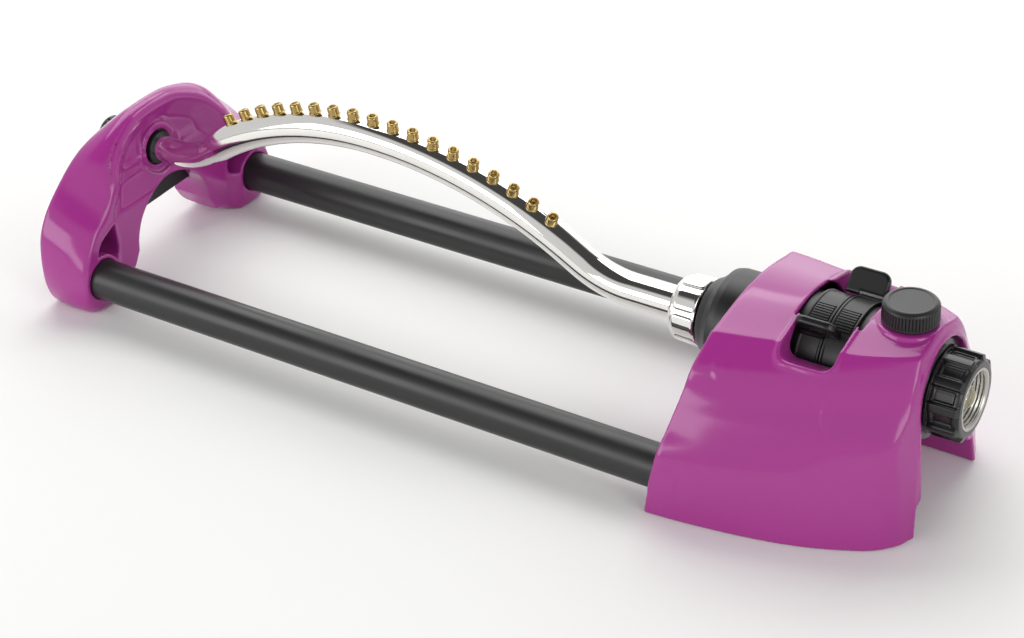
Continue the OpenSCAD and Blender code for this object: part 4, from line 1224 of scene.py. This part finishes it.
@dataclass
class SprayArm:
    """The chrome tube with its nozzles and the nut that joins it to the motor."""

    arch_x: float = -76.0
    arch_rise: float = 44.8
    left_r: float = 175.0
    right_r: float = 230.0
    left_slope: float = 35.0
    right_slope: float = 30.5
    run_out: float = 10.0
    tube_r: float = 8.6
    end_r: float = 6.9
    wall: float = 1.2
    flange: float = 2.4
    flange_r: float = 11.0
    jets: int = 18
    first_jet: float = -92.0
    jet_pitch: float = 11.8
    jet_turns: tuple[float, float] = (3.0, -13.0)

    def route(self) -> tuple[Array, Array]:
        """Centre line of the tube and its radius along it.

        Returns:
            N x 3 points and N radii, in millimetres.
        """
        top = AXIS_Z + self.arch_rise
        la, ra = math.radians(self.left_slope), math.radians(self.right_slope)
        drop_l, drop_r = self.left_r * (1 - math.cos(la)), self.right_r * (1 - math.cos(ra))
        low_l = (self.arch_rise - drop_l - self.run_out * math.sin(la)) / (1 - math.cos(la))
        low_r = (self.arch_rise - drop_r - self.run_out * math.sin(ra)) / (1 - math.cos(ra))
        x_l = self.arch_x - (self.left_r + low_l) * math.sin(la) - self.run_out * math.cos(la)
        x_r = self.arch_x + (self.right_r + low_r) * math.sin(ra) + self.run_out * math.cos(ra)

        def arc(x: float, z: float, radius: float, angles: Array) -> list[Point]:
            """Points of an arc whose lowest point, or highest for a negative radius, is given."""
            return [(x + radius * math.sin(a), z + radius * (1 - math.cos(a))) for a in angles]

        path = [(TUBE.low[0], AXIS_Z)]
        path += arc(x_l, AXIS_Z, low_l, np.linspace(0, la, 14))
        path += arc(self.arch_x, top, -self.left_r, np.linspace(la, 0, 40))
        path += arc(self.arch_x, top, -self.right_r, -np.linspace(0, ra, 44)[1:])
        path += arc(x_r, AXIS_Z, low_r, -np.linspace(ra, 0, 18))
        path += [(TUBE.high[0] - self.flange, AXIS_Z)]
        line = np.array([(x, 0, z) for x, z in path])
        narrow, full = x_l + low_l * math.sin(la), self.arch_x - self.left_r * math.sin(la)
        radius = self.end_r + (self.tube_r - self.end_r) * np.clip((line[:, 0] - narrow) / (full - narrow), 0, 1)
        return line, radius

    def pipe(self) -> Object:
        """Makes the tube with its wall and its flange."""
        line, radius = self.route()
        end = line[-1, 0]
        line = np.vstack([line, [(end + 0.01, 0, AXIS_Z), (end + self.flange, 0, AXIS_Z)]])
        outer = sweep([line], [np.append(radius, [self.flange_r] * 2)], 64, CHROME_PLATE, False)
        bore = np.append(radius, [radius[-1]] * 2) - self.wall
        inner = sweep([line], [bore], 64, CHROME_PLATE, False)
        mesh = creased(reworked([outer, inner], bridge), 40)
        return settle("spray_pipe", mesh, CHROME_PLATE, Body.ARM, ["spray_tube"])

    def jet_places(self) -> tuple[Array, Array]:
        """Place and turn of each nozzle on the arch.

        Returns:
            N x 3 places in millimetres and N x 3 Euler angles.
        """
        places, turns = [], []
        for i in range(self.jets):
            along = self.first_jet + i * self.jet_pitch
            radius = self.left_r if along < 0 else self.right_r
            slope = along / radius
            twist = math.radians(self.jet_turns[0] + (self.jet_turns[1] - self.jet_turns[0]) * i / (self.jets - 1))
            pitch = Matrix.Rotation(slope, 4, "Y")
            pose = pitch @ Matrix.Rotation(-twist, 4, "X")
            spot = Vector((self.arch_x, 0, AXIS_Z + self.arch_rise - radius)) + pitch @ Vector((0, 0, radius))
            places.append(tuple(spot))
            turns.append(tuple(pose.to_euler()))
        return np.array(places), np.array(turns)

    def nozzles(self) -> Object:
        """Makes the row of brass nozzles: a seat, a round body with a rolled edge and a hex mouth."""
        r = 2.9
        profile = filleted(
            [
                (7.6, 0.6, 0), (8.4, 0.6, 0), (8.4, 1.6, 0), (7.9, 3.35, 0.15), (8.75, 3.35, 0.25), (8.95, r, 0.15),
                (12.6, r, 0.5), (13.25, 2.35, 0.3), (13.35, 1.75, 0.1), (12.2, 1.3, 0.1), (11.6, 0.62, 0.1),
            ],
            4,
        )

        def hexed(along: Array, radius: Array, angle: Array) -> Array:
            """Flattens the mouth into a hexagon."""
            mouth = (radius > 1.0) & (radius < 1.9) & (along > 12.0)
            return np.where(mouth, 0.14 * np.cos(6 * angle), 0)

        one = creased(lathe(profile, 24, (0, 0, 0), "Z", hexed), 35)
        places, turns = self.jet_places()
        mesh = creased(copies(one, places, turns, TURNED_BRASS), 35)
        return settle("spray_jets", mesh, TURNED_BRASS, Body.ARM, ["jet_nozzles"])

    def collar(self) -> Object:
        """Makes the chrome collar nut with its eight raised grip pads."""
        x0, x1 = COLLAR.low[0], COLLAR.high[0]
        profile = filleted(
            [
                (x0, 8.95, 0.3), (x0, 14.2, 0.3), (x0 + 1.9, 16.0, 0.8), (x1 - 0.6, 16.4, 0.1), (x1 - 0.2, 16.1, 0.2),
                (x1 - 0.2, 11.5, 0), (x0 + 3.4, 11.5, 0), (x0 + 3.4, 8.95, 0),
            ],
            5,
        )

        def pads(along: Array, radius: Array, angle: Array) -> Array:
            """Raises a rounded pad in each eighth of the nut."""
            turn = (angle * 8 / (2 * math.pi) + 0.5) % 1 - 0.5
            across = np.abs(turn) * 2 * math.pi * 16.4 / 8
            edge = rounded_box(across - 4.9, np.abs(along - (x0 + 8.9)) - 5.9, 1.8)
            return np.where(radius > 15.0, 0.75 * (1 - ramp(edge, -0.5, 0.45)), 0)

        mesh = lathe(refined(profile, 18, 5, 14), 240, (0, 0, AXIS_Z), "X", pads)
        return settle("collar_nut_bright", creased(mesh, 50), CHROME_PLATE, Body.ARM, ["collar_nut"])

    def build(self) -> None:
        """Makes every piece of the arm."""
        self.pipe()
        self.nozzles()
        self.collar()


# ---------------------------------------------------------------- motor front


@dataclass
class MotorSnout:
    """The black stepped cover at the front of the motor."""

    def build(self) -> None:
        """Makes the cover."""
        x, end = COVER.low[0], COVER.high[0]
        profile = filleted(
            [
                (x + 0.2, 11.5, 0.3), (x + 0.2, 17.6, 0.5), (x + 1.2, 18.3, 0.4), (x + 5.0, 20.3, 0.3),
                (x + 5.2, 21.0, 0.3), (x + 8.6, 23.6, 0.5), (x + 9.0, 25.2, 0.5), (x + 12.5, 26.0, 0.6),
                (end, 26.0, 0), (end, 23.6, 0), (x + 19, 23.6, 0), (x + 17.5, 12.0, 0), (x + 17.5, 11.5, 0),
            ]
        )
        mesh = creased(lathe(profile, 128, (0, 0, AXIS_Z)), 35)
        settle("motor_snout", mesh, BLACK_PP, Body.BASE, ["front_cover"])


# ---------------------------------------------------------------- range rings


@dataclass
class RangeRing:
    """One of the two rings that set how far the arm swings, with its upright tab."""

    name: str
    node: str
    body: Body
    x0: float
    tab_x: float
    tab_turn: float
    width: float = 12.4
    outer_r: float = 28.0
    inner_r: float = 26.3
    tab_r: float = 42.0
    tab_t: float = 4.0
    tab_w: float = 20.4
    tab_corner: float = 5.0
    ribs: int = 9
    rib_turns: tuple[float, float] = (8.0, 33.0)

    def hoop(self) -> Mesh:
        """The ring itself, with a raised bead at both edges."""
        x0, x1, r = self.x0, self.x0 + self.width, self.outer_r
        profile = filleted(
            [
                (x0, self.inner_r, 0.2), (x0, r, 0.35), (x0 + 1.1, r, 0.3), (x0 + 1.5, r - 0.5, 0.2),
                (x1 - 1.5, r - 0.5, 0.2), (x1 - 1.1, r, 0.3), (x1, r, 0.35), (x1, self.inner_r, 0.2),
            ]
        )
        return lathe(profile, 180, (0, 0, AXIS_Z))

    def tab(self) -> Mesh:
        """The rounded paddle with its foot, as a smoothed solid."""
        middle, ring_middle = self.tab_x + self.tab_w / 2, self.x0 + self.width / 2
        low = (self.tab_x - 2, self.inner_r - 1)
        grid = Grid(low, (self.tab_x + self.tab_w + 2, 7, self.tab_r + 1.5), 0.4)
        x, y, z = grid.x, grid.y, grid.z
        plan = rounded_box(np.abs(x - middle) - self.tab_w / 2, z - self.tab_r, self.tab_corner)
        plan = np.maximum(plan, self.outer_r + 0.5 - z)
        paddle = meet(plan + 0 * y, y - self.tab_t / 2 + 0 * z, 1.6)
        foot = meet(np.abs(x - ring_middle) - self.width / 2 + 0.2, y - 3.4, 1.0)
        foot = meet(foot + 0 * z, np.abs(z - self.outer_r + 0.2) - 1.5, 1.0)
        mesh = moulded(grid, merge(paddle, foot, 2.4), 30000)
        turn = Matrix.Translation((0, 0, AXIS_Z * MM)) @ Matrix.Rotation(math.radians(self.tab_turn), 4, "X")
        mesh.transform(turn)
        return mesh

    def grip(self) -> Mesh:
        """The row of fine ribs beside the near tab."""
        half = (self.width - 3.6) / 2
        rib = new_mesh(
            "rib",
            np.array([(sx * half, sy * 0.45, z) for sx in (-1, 1) for sy in (-1, 1) for z in (0, 0.9)]),
            [(0, 1, 3, 2), (4, 6, 7, 5), (0, 4, 5, 1), (2, 3, 7, 6), (1, 5, 7, 3), (0, 2, 6, 4)],
        )
        angles = np.radians(np.linspace(*self.rib_turns, self.ribs))
        r = self.outer_r - 0.8
        middle = self.x0 + self.width / 2
        places = np.array([(middle, -r * math.sin(a), AXIS_Z + r * math.cos(a)) for a in angles])
        turns = np.array([(a, 0, 0) for a in angles])
        return copies(rib, places, turns, BLACK_PP)

    def build(self) -> None:
        """Makes the ring's pieces."""
        hoop = creased(reworked([self.hoop(), self.grip()]), 35)
        settle(self.name + "_hoop", hoop, BLACK_PP, self.body, [self.node])
        settle(self.name + "_tab", self.tab(), BLACK_PP_SMOOTH, self.body)


# ---------------------------------------------------------------- flow knob


@dataclass
class FlowKnob:
    """The fluted knob on the housing's crown."""

    radius: float = 13.5
    flutes: int = 52

    def build(self) -> None:
        """Makes the knob with its flutes and its shallow top."""
        r, h = self.radius, round(KNOB.high[2] - KNOB.low[2], 2)
        profile = filleted(
            [
                (0, 3.4, 0), (0, r - 0.6, 0.3), (0.8, r, 0.3), (h - 1.9, r - 0.1, 0.2), (h - 0.7, r - 0.9, 0.7),
                (h, r - 2.2, 0.5), (h, r - 3.0, 0.3), (h - 0.35, r - 3.5, 0.3), (h - 0.35, 0, 0), (h - 3, 0, 0),
                (h - 3, 3.4, 0),
            ]
        )

        def flute(along: Array, radius: Array, angle: Array) -> Array:
            """Cuts a round flute for each rib, fading at the rim and the skirt."""
            wave = np.abs(np.sin(angle * self.flutes / 2)) ** 0.7
            fade = ramp(along, 0.6, 1.6) * (1 - ramp(along, h - 2.4, h - 1.5))
            return np.where(radius > r - 1, -0.62 * (1 - wave) * fade, 0)

        foot = (KNOB.middle[0], 0, KNOB.low[2])
        mesh = creased(lathe(refined(profile, 8, 4, 8), self.flutes * 10, foot, "Z", flute), 40)
        settle("flow_knob_cap", mesh, BLACK_PP, Body.FLOW, ["flow_knob"])


# ---------------------------------------------------------------- hose nut


@dataclass
class HoseNut:
    """The swivel nut with its metal thread, washer and domed strainer."""

    x0: float = NUT.low[0]
    x1: float = INSERT.high[0]
    flange_r: float = 24.4
    body_r: float = 19.5
    rib_rise: float = 1.9
    ribs: int = 10
    thread_r: float = 13.2
    insert_r: float = 15.4
    pitch: float = 1.81
    bore_rows: int = 64
    mesh_x: float = 246.2
    mesh_wall: float = 3.4
    mesh_r: float = 7.3
    wires: int = 19
    wire_r: float = 0.17
    hoops: int = 5

    def nut(self) -> None:
        """Makes the nut: a thin flange, a collar, ten ribs with sunk panels between them."""
        x0, x1, r = self.x0, self.x1, self.body_r
        profile = filleted(
            [
                (x0, 10.7, 0), (x0, self.flange_r, 0.4), (x0 + 1.7, self.flange_r, 0.5), (x0 + 2.1, 21.6, 0.4),
                (x0 + 3.0, 20.9, 0.4), (x0 + 4.4, 20.9, 0.2), (x0 + 4.9, r, 0.3), (x1 - 1.6, r - 0.2, 0.3),
                (x1 - 0.2, r - 1.2, 0.5), (x1 - 0.1, 15.5, 0), (x0 + 6.5, 15.5, 0), (x0 + 6.5, 13.6, 0),
                (x0 + 3.2, 13.6, 0), (x0 + 3.2, 10.7, 0),
            ]
        )

        def rib(along: Array, radius: Array, angle: Array) -> Array:
            """Raises the ribs and sinks a framed panel between them."""
            turn = (angle * self.ribs / (2 * math.pi) + 0.22) % 1
            across = np.minimum(turn, 1 - turn) * 2 * math.pi * r / self.ribs
            on = (radius > 16.5) & (along > x0 + 4.6)
            crest = (1 - ramp(across, 1.8, 2.8)) * (1 - ramp(along, x1 - 1.7, x1 - 0.3))
            middle = (x0 + 4.9 + x1 - 1.6) / 2
            panel = (1 - ramp(np.abs(along - middle), 4.6, 5.4)) * ramp(across, 3.0, 3.6)
            return np.where(on, self.rib_rise * crest - 0.9 * panel, 0)

        mesh = creased(lathe(refined(profile, 20, 6, 17), 360, (0, 0, INLET_Z), "X", rib), 50)
        settle("hose_nut_body", mesh, BLACK_PP_SMOOTH, Body.HOSE_NUT, ["swivel_nut"])

    def thread(self) -> None:
        """Makes the metal insert with its cut thread."""
        x0, x1, rows = self.x0 + 6.6, self.x1, self.bore_rows
        outer, inner = self.insert_r, self.thread_r
        profile = filleted(
            [
                (x0, inner + 0.5, 0), (x0, outer, 0.2), (x1, outer, 0.3), (x1, inner + 0.9, 0.3),
                (x1 - 1.0, inner + 0.1, 0.2),
            ]
        )
        bore = [(x1 - 1.2 - (x1 - 1.2 - x0 - 0.4) * k / rows, inner + 0.25) for k in range(rows + 1)]

        def cut(along: Array, radius: Array, angle: Array) -> Array:
            """Winds the thread's groove round the bore."""
            turn = ((along / self.pitch) + angle / (2 * math.pi)) % 1
            depth = 0.75 * np.minimum(turn, 1 - turn) * 2
            return np.where((radius < inner + 0.3) & (along < x1 - 1.1), depth - 0.25, 0)

        mesh = creased(lathe(profile + bore, 160, (0, 0, INLET_Z), "X", cut), 45)
        settle("hose_thread", mesh, CAST_ZINC, Body.HOSE_NUT, ["thread_insert"])

    def strainer(self) -> None:
        """Makes the domed strainer of woven wire in its rim."""
        base, wall, ball, wires = self.mesh_x, self.mesh_wall, self.mesh_r, self.wires
        pitch = 2 * ball / wires
        lines = []
        for way in (0, 1):
            for i in range(wires):
                off = (i - (wires - 1) / 2) * pitch
                half = math.sqrt(max(ball**2 - off**2, 0.01))
                t = -half * np.cos(np.linspace(0, math.pi, 48))
                height = wall + np.sqrt(np.maximum(ball**2 - t**2 - off**2, 0))
                weave = 0.15 * np.cos(math.pi * (t / pitch + i)) * (1 if way else -1)
                t = np.concatenate([t[:1], t, t[-1:]])
                height = np.concatenate([[0.0], height + weave, [0.0]])
                y, z = (t, np.full_like(t, off)) if way else (np.full_like(t, off), t)
                lines.append(np.stack([base + height, y, z + INLET_Z], 1))
        a = np.linspace(0, 2 * math.pi, 61)
        for i in range(1, self.hoops + 1):
            hoop = [np.full_like(a, base + wall * i / (self.hoops + 1)), ball * np.cos(a), INLET_Z + ball * np.sin(a)]
            lines.append(np.stack(hoop, 1))
        web = sweep(lines, [np.full(len(line), self.wire_r) for line in lines], 6, WIRE)
        rim = filleted([(base - 2.4, 7.0, 0.2), (base - 2.4, 9.6, 0.2), (base + 0.3, 9.6, 0.3), (base + 0.3, 7.0, 0.2)])
        mesh = reworked([web, lathe(rim, 72, (0, 0, INLET_Z))])
        settle("strainer_dome", mesh, WIRE, Body.HOSE_NUT, ["filter_screen"])

    def build(self) -> None:
        """Makes every piece of the hose connection."""
        self.nut()
        self.thread()
        self.strainer()


# ---------------------------------------------------------------- clean-out cap


@dataclass
class CleanoutCap:
    """The cap behind the bracket that carries the nozzle needle."""

    x0: float = PLUG.low[0]
    x1: float = -243.4
    radius: float = 10.0
    grips: int = 12
    needle_r: float = 0.45
    tip_r: float = 0.12

    def build(self) -> None:
        """Makes the cap, its stem and its needle."""
        x0, x1, r = self.x0, self.x1, self.radius
        profile = filleted(
            [
                (x0, 0, 0), (x0, 5.8, 0.8), (x0 + 1.2, 8.4, 1.0), (x0 + 3.4, r, 0.8), (x1 - 0.8, r, 0.3),
                (x1, r - 0.6, 0.3), (x1, 5.6, 0), (x1 + 9.4, 5.6, 0.4), (x1 + 9.4, 0, 0),
            ]
        )

        def grip(along: Array, radius: Array, angle: Array) -> Array:
            """Cuts a round groove between the grips."""
            wave = np.clip(np.cos(angle * self.grips + math.pi), 0, 1) ** 1.5
            return np.where(radius > 8.8, -0.8 * wave * ramp(along, x0 + 3.0, x0 + 5.0), 0)

        mesh = creased(lathe(refined(profile, 10, 5, 8), self.grips * 16, (0, 0, AXIS_Z), "X", grip), 45)
        settle("cleanout_cap", mesh, BLACK_PP, Body.CLEANOUT, ["cleanout_plug"])
        wire = np.array([(x1 + along, 0, AXIS_Z) for along in (9.0, 26.0, 28.4)])
        needle = sweep([wire], [np.array([self.needle_r, self.needle_r, self.tip_r])], 12, PLATED_STEEL)
        settle("cleanout_needle", needle, PLATED_STEEL, Body.CLEANOUT)


# ---------------------------------------------------------------- frame nodes that stay


def dress_nodes() -> None:
    """Gives every frame node that stays shown the finish of its slot."""
    slots = {part["node"]: part["material_slot"] for part in frame["record"]["subparts"]}
    for name, node in frame["nodes"].items():
        if node.hide_render:
            continue
        finish = SLOT_FINISH[Slot(slots[name])]
        node.data.materials.clear()
        node.data.materials.append(finish.material())
        LOG.info("%s: frame node in %s", name, finish.name)


# ---------------------------------------------------------------- studio


@dataclass
class Studio:
    """Pale floor, soft lights and the camera."""

    lens: float = 87.24
    back: tuple[float, float, float] = (0.4653, -0.6977, 0.5446)
    aim: tuple[float, float, float] = (-0.0155, 0.0315, 0.0)
    distance: float = 1.3157
    roll: float = -2.4
    sky_stops: tuple[Point, ...] = ((0.0, 0.95), (0.72, 0.9), (0.81, 0.08))
    sky_strength: float = 0.75
    floor_half: float = 6.0
    floor_z: float = -0.0003

    def camera(self) -> None:
        """Sets up the camera."""
        data = bpy.data.cameras.new("camera")
        data.lens, data.sensor_width = self.lens, 36.0
        data.clip_start, data.clip_end = 0.05, 30.0
        seat = placed("camera", data)
        back = Vector(self.back).normalized()
        right = Vector((0, 0, 1)).cross(back).normalized()
        up = back.cross(right)
        turn = math.radians(self.roll)
        across = right * math.cos(turn) + up * math.sin(turn)
        over = -right * math.sin(turn) + up * math.cos(turn)
        place = Matrix((across, over, back)).transposed().to_4x4()
        place.translation = Vector(self.aim) + back * self.distance
        seat.matrix_world = place
        bpy.context.scene.camera = seat

    def world(self) -> None:
        """White to the camera, and to everything else a pale sky that is dark overhead."""
        made = bpy.data.worlds.new("studio")
        bpy.context.scene.world = made
        made.use_nodes = True
        tree = made.node_tree
        tree.nodes.clear()
        sky = add_node(tree, "ShaderNodeTexCoord").outputs["Generated"]
        height = add_node(tree, "ShaderNodeSeparateXYZ", {"Vector": sky}).outputs["Z"]
        bands = add_node(tree, "ShaderNodeValToRGB", {"Fac": height})
        for i, (place, level) in enumerate(self.sky_stops):
            stop = bands.color_ramp.elements[i] if i < 2 else bands.color_ramp.elements.new(place)
            stop.position, stop.color = place, (level, level, level, 1)
        soft = add_node(tree, "ShaderNodeBackground", {"Color": bands.outputs["Color"], "Strength": self.sky_strength})
        plain = add_node(tree, "ShaderNodeBackground", {"Color": (1, 1, 1, 1), "Strength": 1.0})
        ray = add_node(tree, "ShaderNodeLightPath").outputs["Is Camera Ray"]
        both = add_node(tree, "ShaderNodeMixShader", {0: ray, 1: soft.outputs[0], 2: plain.outputs[0]})
        add_node(tree, "ShaderNodeOutputWorld", {"Surface": both.outputs[0]})

    def lamp(self, name: str, place: tuple, target: tuple, size: tuple[float, float], power: float) -> None:
        """Adds one soft box.

        Args:
            name: The lamp's name.
            place: Where it stands, in metres.
            target: What it points at.
            size: Its width and height.
            power: Its power in watts.
        """
        data = bpy.data.lights.new(name, "AREA")
        data.shape, data.size, data.size_y, data.energy = "RECTANGLE", size[0], size[1], power
        turn = (Vector(place) - Vector(target)).to_track_quat("Z", "Y")
        placed(name, data).matrix_world = Matrix.Translation(place) @ turn.to_matrix().to_4x4()

    def floor(self) -> None:
        """A wide pale sheet that shows the shadow and fades into the white."""
        mesh = bpy.data.meshes.new("floor")
        half, z = self.floor_half, self.floor_z
        mesh.from_pydata([(-half, -half, z), (half, -half, z), (half, half, z), (-half, half, z)], [], [(0, 1, 2, 3)])
        made = bpy.data.materials.new("pale_floor_paper")
        made.use_nodes = True
        tree = made.node_tree
        shader = tree.nodes["Principled BSDF"]
        shader.inputs["Base Color"].default_value = linear("#f4f4f2")
        shader.inputs["Roughness"].default_value = 0.85
        shader.inputs["Specular IOR Level"].default_value = 0.2
        white = add_node(tree, "ShaderNodeEmission", {"Color": (1, 1, 1, 1), "Strength": 1.0})
        place = add_node(tree, "ShaderNodeTexCoord").outputs["Object"]
        far = add_node(tree, "ShaderNodeVectorMath", {0: place}, operation="LENGTH")
        fade = add_node(tree, "ShaderNodeMapRange", {"Value": far.outputs["Value"], "From Min": 0.32, "From Max": 0.8})
        ray = add_node(tree, "ShaderNodeLightPath").outputs["Is Camera Ray"]
        seen = add_node(tree, "ShaderNodeMath", {0: ray, 1: fade.outputs["Result"]}, operation="MULTIPLY")
        both = add_node(tree, "ShaderNodeMixShader", {0: seen.outputs[0], 1: shader.outputs[0], 2: white.outputs[0]})
        tree.links.new(both.outputs[0], tree.nodes["Material Output"].inputs["Surface"])
        mesh.materials.append(made)
        placed("floor", mesh)

    def build(self) -> None:
        """Sets up the whole studio."""
        bpy.context.scene.view_settings.view_transform = "Standard"
        self.camera()
        self.world()
        self.floor()
        self.lamp("key", (-0.75, -1.25, 0.5), (0.05, 0, 0.05), (1.3, 0.7), 8.0)
        self.lamp("fill", (1.3, -0.5, 0.6), (0.1, 0, 0.05), (0.7, 0.9), 5.0)
        self.lamp("rear", (-0.5, 1.3, 0.8), (0, 0, 0.06), (2.4, 1.4), 14.0)
        self.lamp("upper", (-0.45, 0.66, 1.38), (0, 0, 0.05), (1.6, 0.8), 12.0)


# ---------------------------------------------------------------- build


def main() -> None:
    """Builds the sprinkler's looks in order."""
    logging.basicConfig(level=logging.INFO, format="%(message)s")
    Studio().build()
    GearHousing().build()
    EndBracket().build()
    SprayArm().build()
    MotorSnout().build()
    near_x, far_x, far_ring = RING_NEAR.low[0], RING_FAR.low[0], round(RING_FAR.high[0] - RangeRing.width, 2)
    RangeRing("range_near", "range_ring_near", Body.RANGE_NEAR, near_x, near_x, 40.0).build()
    RangeRing("range_far", "range_ring_far", Body.RANGE_FAR, far_ring, far_x, -40.0).build()
    FlowKnob().build()
    HoseNut().build()
    CleanoutCap().build()
    dress_nodes()


if __name__ == "__main__":
    main()
